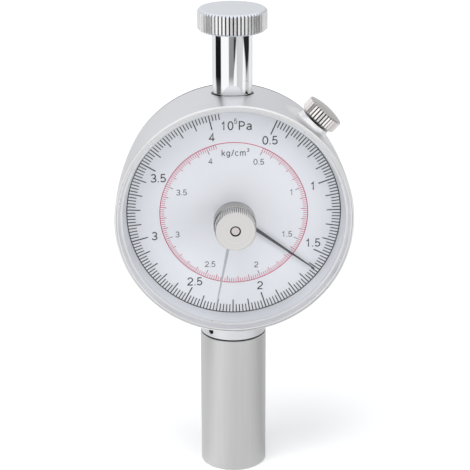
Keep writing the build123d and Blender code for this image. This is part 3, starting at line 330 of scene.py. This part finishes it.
# painted shade: a dark line at the foot of the crystal bush, against the crystal
BUSH_SEAM = ((0, -14.4 * MM, 0), (0, 1, 0), 0.5, 0.2)
# painted shade: the handle post is darkened near its foot on the case
POST_SEAT = ((0, 0, DIAL_Z + 29.4 * MM), (0, 0, 1), 2.4, -2.8)
# painted shade: the guide bush's shoulder outside 7.1 mm radius is darkened
GUARD_JOINT = ((0, 0, 0), (1, 1, 0), 7.1, 7.3)
POINTER_TAIL = ((-3.8 * MM, 0, DIAL_Z + 2.8 * MM), (1, 0, 1), 2.6, 2.5)
# painted shade: a dark ring in the recess round the reset spindle
RESET_PIT = (CENTRE, (1, 0, 1), 1.37, 1.31)

# painted shade at the back seam and round the post's foot, painted light round the boss and on the front
# rim
case_satin = satin_plate("case_pearl_chrome", "E9EAED", 0.38, joints=(BACK_SEAM, POST_FOOT),
                         light_zones=(FRONT_RIM, BOSS))
bezel_satin = satin_plate("bezel_bright_chrome", "F2F3F2", 0.3, relief_mm=0.004)
# painted shade: a dark line at the seam with the case
cover_satin = satin_plate("cover_pearl_chrome", "DCDEE1", 0.38, joints=(COVER_SEAM,))
# painted shade near the post's foot
chrome = bright_plate("bright_chrome", "F9FAFB", 0.015, joints=(POST_SEAT,))
# painted highlight on the knurl's crests, painted shade in its grooves
handle_chrome = turned_metal("handle_knob_chrome", "EDF1F7", 0.26, (0, 0, 1), relief_mm=0.001, shade=0.01,
                             knurl=(8.76, 8.40, "FDFDFD", "4C4C4E"))
sleeve_nickel = drawn_tube("sleeve_satin_nickel", "D5D5D4", 0.32)
# painted shade in the knurl's grooves and in the recess round the spindle
reset_steel = turned_metal("reset_knob_turned_nickel", "E2E0DE", 0.27, (0, 1, 0), CENTRE,
                           knurl=(5.12, 4.82, "E2E0DE", "505052"), joints=(RESET_PIT,))
# painted shade: a darker nickel colour, and a dark line where the bush meets the crystal
shaded_bush_nickel = turned_metal("crystal_bush_nickel_painted_shade", "A9A8A4", 0.22, (0, 1, 0), CENTRE,
                          joints=(BUSH_SEAM,))
# painted highlight on the knurl's crests, painted shade in its grooves
side_steel = turned_metal("side_knob_turned_nickel", "CBC9C7", 0.22, SIDE_AXIS, SIDE_PLACE,
                          knurl=(5.04, 4.68, "FDF9F7", "3A3838"))
# painted shade on the shoulder
bush_brass = turned_metal("guide_bush_brass", "C8A35C", 0.3, (0, 0, 1), joints=(GUARD_JOINT,))
brass = turned_metal("movement_brass", "C8A35C", 0.3, (0, 1, 0), CENTRE)
steel = turned_metal("ground_steel", "B4B5B8", 0.25, (0, 0, 1))
pin_steel = turned_metal("reset_pin_turned_steel", "DAD4D2", 0.27, (0, 1, 0), CENTRE)
screw_zinc = turned_metal("zinc_screws", "A9AAAC", 0.3, (0, 1, 0), CENTRE)
blued_steel = bright_plate("blued_spring_steel", "5A5F6B", 0.25)
black_steel = satin_plate("blackened_steel", "2A2A2C", 0.45)
spacer_alloy = lacquer("spacer_matt_grey_enamel", "D0D2D5", 0.55)
dial_white = lacquer("dial_pale_enamel", "DDDFE1", 0.5)
ink_black = lacquer("dial_black_ink", "0E0F12", 0.6)
ink_grey = lacquer("dial_grey_ink", "4A4D54", 0.6)
ink_red = lacquer("dial_red_ink", "BE0854", 0.6)
needle_black = two_tone_lacquer("needle_black_lacquer", "33363B", "DDDFE1", 0.35, POINTER_TAIL)
needle_grey = lacquer("needle_grey_lacquer", "A9ACB0", 0.4)
acrylic = clear_acrylic("crystal_clear_acrylic")
nylon = lacquer("nylon_moulded", "E4E1D6", 0.5)
# painted shade: the recessed washer is coloured dark
shaded_nylon = lacquer("nylon_washer_painted_shade", "2E2D2B", 0.4)

DRESS = {
    case_satin: ("case_body",),
    bezel_satin: ("bezel_ring",),
    cover_satin: ("back_cover",),
    chrome: ("handle_post",),
    handle_chrome: ("handle_knob",),
    sleeve_nickel: ("guard_sleeve",),
    reset_steel: ("reset_knob",),
    shaded_bush_nickel: ("crystal_bush",),
    side_steel: ("side_knob", "side_screw"),
    brass: ("movement_plate", "plate_pillars", "arbor_bridge", "bridge_pillars", "arbor_bush",
            "hairspring_stud", "guide_rail", "upper_guide_bush", "rack_carrier", "spring_seat",
            "pinion", "hairspring_collet", "crystal_nut"),
    bush_brass: ("lower_guide_bush",),
    pin_steel: ("reset_spindle",),
    steel: ("plunger_rod", "rack", "guide_pin", "indenter", "pointer_arbor"),
    screw_zinc: ("back_cover_screws", "plate_screws", "movement_screws", "rack_screws"),
    blued_steel: ("hairspring", "bezel_snap_ring"),
    black_steel: ("collar_set_screw",),
    spacer_alloy: ("dial_spacer_ring",),
    dial_white: ("dial_plate",),
    needle_black: ("main_pointer",),
    needle_grey: ("peak_pointer",),
    acrylic: ("crystal",),
    nylon: ("clamp_shoe",),
    shaded_nylon: ("reset_washer",),
}
for material, names in DRESS.items():
    for name in names:
        for slot in NODES[name].material_slots:
            slot.material = material


# ---------------------------------------------------------------- dial printing
def on_dial(turn, radius):
    """Point on the dial at a clock angle in degrees, seen from the front."""
    angle = math.radians(turn)
    return Vector((radius * math.sin(angle), 0, DIAL_Z + radius * math.cos(angle)))


def prism(mesh, outline):
    """Adds a flat plate of ink with this outline, lying on the dial's face."""
    front = [mesh.verts.new((p.x, DIAL_FACE_Y - INK_T, p.z)) for p in outline]
    back = [mesh.verts.new((p.x, DIAL_FACE_Y, p.z)) for p in outline]
    mesh.faces.new(front)
    mesh.faces.new(back[::-1])
    for i in range(len(outline)):
        j = (i + 1) % len(outline)
        mesh.faces.new((front[j], front[i], back[i], back[j]))


def tick(mesh, turn, inner, outer, width):
    """A straight tick between two radii."""
    aside = Vector((math.cos(math.radians(turn)), 0, -math.sin(math.radians(turn)))) * width / 2
    low, high = on_dial(turn, inner), on_dial(turn, outer)
    prism(mesh, [low - aside, high - aside, high + aside, low + aside])


def hoop(mesh, radius, width, parts=240):
    """A thin printed circle."""
    rows = []
    for r, y in ((radius - width / 2, DIAL_FACE_Y), (radius - width / 2, DIAL_FACE_Y - INK_T),
                 (radius + width / 2, DIAL_FACE_Y - INK_T), (radius + width / 2, DIAL_FACE_Y)):
        circle = [on_dial(360 * k / parts, r) for k in range(parts)]
        rows.append([mesh.verts.new((p.x, y, p.z)) for p in circle])
    for a, b in zip(rows, rows[1:] + rows[:1]):
        for k in range(parts):
            m = (k + 1) % parts
            mesh.faces.new((a[k], a[m], b[m], b[k]))


def to_object(name, mesh, material, body):
    """Turns a bmesh into a piece of the model that rides on a body."""
    bmesh.ops.recalc_face_normals(mesh, faces=mesh.faces)
    data = bpy.data.meshes.new(name)
    mesh.to_mesh(data)
    mesh.free()
    made = bpy.data.objects.new(name, data)
    bpy.context.scene.collection.objects.link(made)
    data.materials.append(material)
    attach(made, body)
    return made


def measuring_coil():
    """The measuring spring's wire, as a tube along a helix in the place of the CAD coil."""
    steps, sides = 28, 10
    low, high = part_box("measuring_spring")
    bottom, top = low[2] + WIRE_R, high[2] - WIRE_R
    mesh = bmesh.new()
    rings = []
    for i in range(COIL_TURNS * steps + 1):
        angle = math.tau * i / steps
        out = Vector((math.cos(angle), math.sin(angle), 0))
        middle = out * COIL_R + Vector((0, 0, bottom + (top - bottom) * i / (COIL_TURNS * steps)))
        rings.append([mesh.verts.new(middle + WIRE_R * (out * math.cos(math.tau * k / sides)
                                                        + Vector((0, 0, math.sin(math.tau * k / sides)))))
                      for k in range(sides)])
    for here, there in zip(rings, rings[1:]):
        for k in range(sides):
            mesh.faces.new((here[k], here[k - 1], there[k - 1], there[k]))
    mesh.faces.new(rings[0])
    mesh.faces.new(rings[-1][::-1])
    coil = to_object("measuring_coil", mesh, blued_steel, "case")
    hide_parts("measuring_spring")
    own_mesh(coil)


def scale_turns(first, per_unit, top):
    """(turn, value in hundredths) of every tick from 0.5 to past 4."""
    return [(first + (v - 50) / 100 * per_unit, v) for v in range(50, top + 1, 2)]


def rank(value):
    """0 for a tick with a numeral, 1 for a tenth, 2 for a fiftieth."""
    return 0 if value % 50 == 0 else 1 if value % 10 == 0 else 2


OUTER_FIRST, OUTER_STEP = 24.1, 92.06   # turn of the 0.5 tick and of one unit, in degrees
INNER_FIRST, INNER_STEP = 23.5, 90.05
OUTER_TICKS = ((22.7, 0.31), (23.6, 0.28), (24.9, 0.26))    # inner radius and width in mm, by rank
INNER_TICKS = ((16.7, 0.17), (17.1, 0.18), (17.6, 0.145))
OUTER_TICK_END = 27.0
OUTER_RING = 27.04
INNER_RING = 18.73
RED_FROM = 17.5             # a numeral's tick on the inner scale is grey inside this radius
black_scale, red_scale, grey_scale = bmesh.new(), bmesh.new(), bmesh.new()
for turn, value in scale_turns(OUTER_FIRST, OUTER_STEP, 406):
    inner, width = OUTER_TICKS[rank(value)]
    tick(black_scale, turn, inner * MM, OUTER_TICK_END * MM, width * MM)
hoop(black_scale, OUTER_RING * MM, 0.25 * MM, 360)
for turn, value in scale_turns(INNER_FIRST, INNER_STEP, 408):
    inner, width = INNER_TICKS[rank(value)]
    numbered = rank(value) == 0
    tick(red_scale, turn, (RED_FROM if numbered else inner) * MM, INNER_RING * MM, width * MM)
    if numbered:
        tick(grey_scale, turn, inner * MM, RED_FROM * MM, width * MM)
hoop(red_scale, INNER_RING * MM, 0.19 * MM)


# ---- a plain sans letter set, drawn as pen strokes on a body 1 high with the baseline at 0
def bow(cx, cy, rx, ry, start, end, steps=14):
    """Points along an ellipse, anticlockwise in degrees from +x."""
    return [(cx + rx * math.cos(math.radians(start + (end - start) * k / steps)),
             cy + ry * math.sin(math.radians(start + (end - start) * k / steps))) for k in range(steps + 1)]


LETTERS = {     # width, strokes
    "0": (0.62, [bow(0.31, 0.5, 0.26, 0.46, 90, 450, 28)]),
    "1": (0.62, [[(0.12, 0.72), (0.24, 0.78), (0.34, 0.96), (0.34, 0.0)]]),
    "2": (0.62, [bow(0.31, 0.68, 0.25, 0.28, 170, -28) + [(0.14, 0.2), (0.06, 0.045), (0.58, 0.045)]]),
    "3": (0.62, [bow(0.3, 0.72, 0.22, 0.24, 160, -90) + bow(0.29, 0.26, 0.27, 0.22, 90, -160)]),
    "4": (0.62, [[(0.6, 0.26), (0.04, 0.26), (0.42, 0.94), (0.42, 0.0)]]),
    "5": (0.62, [[(0.54, 0.955), (0.16, 0.955), (0.1, 0.5)] + bow(0.3, 0.32, 0.26, 0.275, 125, -155)]),
    ".": (0.12, [[(0.06, 0.0), (0.06, 0.12)]]),
    "P": (0.7, [[(0.1, 0.0), (0.1, 0.955), (0.36, 0.955)] + bow(0.36, 0.7, 0.26, 0.255, 90, -90)
                + [(0.1, 0.445)]]),
    "a": (0.58, [bow(0.28, 0.5, 0.2, 0.18, 155, 0) + [(0.48, 0.1), (0.54, 0.03)],
                 [(0.48, 0.4)] + bow(0.26, 0.2, 0.2, 0.165, 80, 280) + [(0.48, 0.16)]]),
    "k": (0.52, [[(0.08, 0.0), (0.08, 1.0)], [(0.46, 0.68), (0.09, 0.3)], [(0.22, 0.42), (0.48, 0.0)]]),
    "g": (0.58, [bow(0.27, 0.35, 0.2, 0.32, 0, 360, 24),
                 [(0.48, 0.68), (0.48, -0.06)] + bow(0.28, -0.06, 0.2, 0.17, 0, -160)]),
    "/": (0.34, [[(0.02, -0.03), (0.32, 1.0)]]),
    "c": (0.54, [bow(0.28, 0.35, 0.21, 0.32, 40, 320, 24)]),
    "m": (0.86, [[(0.08, 0.0), (0.08, 0.68)],
                 [(0.08, 0.45)] + bow(0.25, 0.48, 0.17, 0.19, 150, 0) + [(0.42, 0.0)],
                 [(0.42, 0.45)] + bow(0.59, 0.48, 0.17, 0.19, 150, 0) + [(0.76, 0.0)]]),
}


def pen(mesh, points, width):
    """A ribbon of ink along a line of points (x, z) on the dial, with mitred corners and square ends."""
    closed = len(points) > 2 and math.dist(points[0], points[-1]) < 1e-9
    if closed:
        points = points[:-1]
    points = [p for k, p in enumerate(points) if not k or math.dist(p, points[k - 1]) > 1e-9]
    count = len(points)
    sides = []
    for k, (x, z) in enumerate(points):
        before = points[k - 1] if k or closed else None
        after = points[(k + 1) % count] if k < count - 1 or closed else None
        runs = []
        for a, b in ((before, (x, z)), ((x, z), after)):
            if a and b:
                long = math.dist(a, b)
                runs.append(((b[0] - a[0]) / long, (b[1] - a[1]) / long))
        if len(runs) == 2:
            mean = (runs[0][0] + runs[1][0], runs[0][1] + runs[1][1])
            size = math.hypot(*mean)
            mean = (mean[0] / size, mean[1] / size)
            half = width / 2 / max(mean[0] * runs[0][0] + mean[1] * runs[0][1], 0.5)
        else:
            mean, half = runs[0], width / 2
        sides.append(((x - mean[1] * half, z + mean[0] * half), (x + mean[1] * half, z - mean[0] * half)))
    rows = []
    for left, right in sides:
        corners = ((left, DIAL_FACE_Y - INK_T), (right, DIAL_FACE_Y - INK_T),
                   (right, DIAL_FACE_Y), (left, DIAL_FACE_Y))
        rows.append([mesh.verts.new((p[0], y, p[1])) for p, y in corners])
    for a, b in zip(rows, rows[1:] + (rows[:1] if closed else [])):
        for k in range(4):
            m = (k + 1) % 4
            mesh.faces.new((a[k], a[m], b[m], b[k]))
    if not closed:
        mesh.faces.new(rows[0][::-1])
        mesh.faces.new(rows[-1])


LETTER_GAP = 0.14           # between letters, as a share of their height


def lettering(mesh, text, centre, height, weight, stretch=1.0):
    """Sets upright text on the dial, centred on a point. height is that of a capital or a numeral."""
    wide = sum(LETTERS[c][0] for c in text) + LETTER_GAP * (len(text) - 1)
    at = -wide / 2
    for c in text:
        width, strokes = LETTERS[c]
        for stroke in strokes:
            pen(mesh, [(centre[0] * MM + (at + x) * height * stretch,
                        DIAL_Z + centre[1] * MM + (y - 0.5) * height) for x, y in stroke], weight)
        at += width + LETTER_GAP


OUTER_NUMERALS = (("0.5", 9.1, 19.2), ("1", 20.0, 7.1), ("1.5", 20.15, -8.2), ("2", 6.7, -19.7),
                  ("2.5", -10.05, -18.4), ("3", -20.15, -5.85), ("3.5", -18.95, 9.6), ("4", -5.4, 20.2))
INNER_NUMERALS = (("0.5", 6.3, 13.6), ("1", 14.6, 5.5), ("1.5", 13.5, -5.75), ("2", 5.7, -13.95),
                  ("2.5", -6.1, -13.7), ("3", -14.3, -5.5), ("3.5", -13.15, 5.75), ("4", -5.8, 13.95))
for text, x, z in OUTER_NUMERALS:
    lettering(black_scale, text, (x, z), 2.15 * MM, 0.3 * MM, 1.08)
for text, x, z in INNER_NUMERALS:
    lettering(grey_scale, text, (x, z), 1.5 * MM, 0.21 * MM, 1.08)
lettering(black_scale, "10", (-1.62, 23.1), 2.25 * MM, 0.3 * MM)
lettering(grey_scale, "5", (0.5, 24.25), 1.3 * MM, 0.19 * MM)
lettering(black_scale, "Pa", (2.9, 23.1), 2.25 * MM, 0.3 * MM, 1.06)
lettering(grey_scale, "kg/cm", (0.02, 16.05), 1.6 * MM, 0.22 * MM, 1.13)
lettering(grey_scale, "2", (3.66, 16.72), 0.85 * MM, 0.16 * MM)
to_object("dial_print_black", black_scale, ink_black, "dial")
to_object("dial_print_grey", grey_scale, ink_grey, "dial")
to_object("dial_print_red", red_scale, ink_red, "dial")

# ---------------------------------------------------------------- spring
measuring_coil()

# ---------------------------------------------------------------- studio
# a cloth tent all round: grey levels against the turn from the front, in degrees clockwise from above
TENT_TOP = ((-180, 0.66), (-112, 0.90), (-98, 0.50), (-80, 0.50), (-64, 0.95), (-15, 0.95), (-8, 0.45),
            (10, 0.40), (20, 0.85), (45, 0.8), (58, 0.12), (104, 0.08), (116, 0.7), (180, 0.6))
TENT_FAR = ((-180, 0.66), (-116, 0.88), (-112, 0.01), (-72, 0.01), (-68, 1.0), (-24, 1.0), (-20, 0.30),
            (4, 0.28), (9, 0.02), (20, 0.02), (24, 0.64), (57, 0.68), (61, 0.02), (107, 0.02), (112, 0.9),
            (180, 0.66))
TENT_MID = ((-180, 0.78), (-112, 0.98), (-100, 0.15), (-76, 0.15), (-66, 1.0), (0, 0.98), (72, 1.0),
            (84, 0.55), (100, 0.55), (112, 0.84), (150, 0.66), (180, 0.76))
PAPER_NEAR = ((-180, 0.80), (-90, 0.84), (-55, 1.0), (-30, 0.92), (0, 0.80), (40, 0.80), (75, 0.70),
              (100, 0.55), (180, 0.80))
# distance along the floor, in metres, from which the gaps between the cloths are open
OPEN_FROM = ((-180, 0.38), (-70, 0.38), (-24, 0.38), (-20, 0.385), (4, 0.385), (9, 0.42), (13, 0.425),
             (17, 0.45), (22, 0.485), (24, 0.32), (57, 0.34), (60, 0.485), (67, 0.46), (76, 0.43),
             (86, 0.40), (100, 0.415), (107, 0.445), (112, 0.38), (180, 0.38))
OPENING_SPAN = 0.6          # distance in metres that a full ramp stands for


def grey_ramp(tree, factor, levels, span, start=0.0, tint=1.0):
    """Colour ramp from (value, grey level) pairs, with the factor running over span from start."""
    ramp = add(tree, "ShaderNodeValToRGB", {"Fac": factor})
    stops = ramp.color_ramp.elements
    for value, level in levels[1:-1]:
        stops.new((value - start) / span)
    for stop, (value, level) in zip(stops, levels):
        stop.position = (value - start) / span
        stop.color = (level, level, level * tint, 1)
    return ramp.outputs["Color"]


def turn_of(tree, way):
    """Turn of a direction from the front, as a share of the circle."""
    parts = add(tree, "ShaderNodeSeparateXYZ", {"Vector": way})
    front = add(tree, "ShaderNodeMath", {0: parts.outputs["Y"], 1: -1.0}, operation="MULTIPLY")
    turn = add(tree, "ShaderNodeMath", {0: parts.outputs["X"], 1: front.outputs[0]}, operation="ARCTAN2")
    return add(tree, "ShaderNodeMapRange", {
        "Value": turn.outputs[0], "From Min": -math.pi, "From Max": math.pi}).outputs["Result"]


def turn_ramp(tree, share, levels):
    """Grey levels by the turn from the front in degrees."""
    return grey_ramp(tree, share, levels, 360, -180, 1.01)


FLOOR_R = 4.0
floor_mesh = bmesh.new()
bmesh.ops.create_circle(floor_mesh, cap_ends=True, segments=96, radius=FLOOR_R)
floor_data = bpy.data.meshes.new("studio_floor")
floor_mesh.to_mesh(floor_data)
floor_mesh.free()
floor = bpy.data.objects.new("studio_floor", floor_data)
bpy.context.scene.collection.objects.link(floor)
floor_paint, tree = new_material("floor_pale_paper")
paper = add(tree, "ShaderNodeBsdfDiffuse", {"Color": linear("F4F5F6")})
place = add(tree, "ShaderNodeTexCoord").outputs["Object"]
turned = turn_of(tree, place)
far_cloth = turn_ramp(tree, turned, TENT_FAR)
top_cloth = turn_ramp(tree, turned, TENT_TOP)
mid_cloth = turn_ramp(tree, turned, TENT_MID)
near_paper = turn_ramp(tree, turned, PAPER_NEAR)
reach = add(tree, "ShaderNodeVectorMath", {0: place}, operation="LENGTH").outputs["Value"]
edge_share = turn_ramp(tree, turned, [(turn, start / OPENING_SPAN) for turn, start in OPEN_FROM])
edge = add(tree, "ShaderNodeMath", {0: edge_share, 1: OPENING_SPAN}, operation="MULTIPLY")
beyond = add(tree, "ShaderNodeMath", {0: reach, 1: edge.outputs[0]}, operation="SUBTRACT")
opening = add(tree, "ShaderNodeMapRange", {
    "Value": beyond.outputs[0], "From Min": -0.004, "From Max": 0.022})
above = add(tree, "ShaderNodeMapRange", {"Value": reach, "From Min": 0.488, "From Max": 0.5})
far_cloth = add(tree, "ShaderNodeMix", {
    0: above.outputs["Result"], 6: far_cloth, 7: top_cloth}, data_type="RGBA").outputs[2]
cloth = add(tree, "ShaderNodeMix", {
    0: opening.outputs["Result"], 6: mid_cloth, 7: far_cloth}, data_type="RGBA")
leaving = add(tree, "ShaderNodeMapRange", {
    "Value": reach, "From Min": 0.10, "From Max": 0.16}, interpolation_type="SMOOTHSTEP")
sheen = add(tree, "ShaderNodeMix", {
    0: leaving.outputs["Result"], 6: near_paper, 7: cloth.outputs[2]}, data_type="RGBA")
ray = add(tree, "ShaderNodeLightPath")
far_lift = add(tree, "ShaderNodeMapRange", {
    "Value": reach, "From Min": 0.2, "From Max": 0.9, "To Min": 0.2, "To Max": 0.45}).outputs["Result"]
lift = add(tree, "ShaderNodeEmission", {"Color": linear("FFFFFF"), "Strength": far_lift})
tent = add(tree, "ShaderNodeEmission", {"Color": sheen.outputs[2], "Strength": 1.0})
seen = add(tree, "ShaderNodeMath", {0: ray.outputs["Is Camera Ray"], 1: ray.outputs["Is Transmission Ray"]},
           operation="MAXIMUM")
brighter = add(tree, "ShaderNodeAddShader", {0: paper.outputs["BSDF"], 1: lift.outputs["Emission"]})
plain = add(tree, "ShaderNodeMixShader", {
    0: seen.outputs[0], 1: paper.outputs["BSDF"], 2: brighter.outputs[0]})
chosen = add(tree, "ShaderNodeMixShader", {
    0: ray.outputs["Is Glossy Ray"], 1: plain.outputs["Shader"], 2: tent.outputs["Emission"]})
add(tree, "ShaderNodeOutputMaterial", {"Surface": chosen.outputs["Shader"]})
floor_data.materials.append(floor_paint)

world = bpy.data.worlds.new("studio_tent")
bpy.context.scene.world = world
world.use_nodes = True
tree = world.node_tree
tree.nodes.clear()
way = add(tree, "ShaderNodeTexCoord").outputs["Generated"]
cloth = turn_ramp(tree, turn_of(tree, way), TENT_MID)
height = add(tree, "ShaderNodeSeparateXYZ", {"Vector": way}).outputs["Z"]
roof = add(tree, "ShaderNodeMapRange", {
    "Value": height, "From Min": 0.5, "From Max": 0.75}, interpolation_type="SMOOTHSTEP")
tent = add(tree, "ShaderNodeMix", {0: roof.outputs["Result"], 6: cloth, 7: (0.98, 0.98, 1.0, 1)},
           data_type="RGBA")
ray = add(tree, "ShaderNodeLightPath")
shiny = add(tree, "ShaderNodeBackground", {"Color": tent.outputs[2], "Strength": 1.0})
plain = add(tree, "ShaderNodeBackground", {"Color": (0.985, 0.99, 1.0, 1), "Strength": 0.61})
white = add(tree, "ShaderNodeBackground", {"Color": (1, 1, 1, 1), "Strength": 1.0})
lit = add(tree, "ShaderNodeMixShader", {
    0: ray.outputs["Is Glossy Ray"], 1: plain.outputs["Background"], 2: shiny.outputs["Background"]})
clear = add(tree, "ShaderNodeMath", {
    0: ray.outputs["Is Camera Ray"], 1: ray.outputs["Is Transmission Ray"]}, operation="MAXIMUM")
shown = add(tree, "ShaderNodeMixShader", {
    0: clear.outputs[0], 1: lit.outputs["Shader"], 2: white.outputs["Background"]})
add(tree, "ShaderNodeOutputWorld", {"Surface": shown.outputs["Shader"]})


def softbox(name, place, size, power):
    """A square soft lamp that looks at the tester."""
    lamp = bpy.data.lights.new(name, "AREA")
    lamp.size = size
    lamp.energy = power
    made = bpy.data.objects.new(name, lamp)
    bpy.context.scene.collection.objects.link(made)
    made.location = place
    made.rotation_euler = (CAMERA_AIM - Vector(place)).to_track_quat("-Z", "Y").to_euler()
    made.visible_glossy = False


softbox("lamp_above", (-0.15, -0.25, 0.75), 0.5, 3.1)
softbox("lamp_left", (-0.65, -0.45, 0.30), 0.45, 1.6)
softbox("lamp_right", (0.6, -0.5, 0.25), 0.4, 1.9)

# ---------------------------------------------------------------- camera
lens = bpy.data.cameras.new("camera")
lens.lens = LENS
lens.sensor_width = SENSOR
lens.clip_start = 0.01
lens.clip_end = 50
camera = bpy.data.objects.new("camera", lens)
bpy.context.scene.collection.objects.link(camera)
away = Vector((math.sin(CAMERA_ROUND) * math.cos(CAMERA_UP), -math.cos(CAMERA_ROUND) * math.cos(CAMERA_UP),
               math.sin(CAMERA_UP)))
camera.location = CAMERA_AIM + away * CAMERA_FAR
facing = (-away).to_track_quat("-Z", "Y").to_matrix().to_4x4()
camera.rotation_euler = (facing @ Matrix.Rotation(CAMERA_ROLL, 4, "Z")).to_euler()
bpy.context.scene.camera = camera
bpy.context.scene.view_settings.view_transform = "Standard"

bpy.context.view_layer.update()
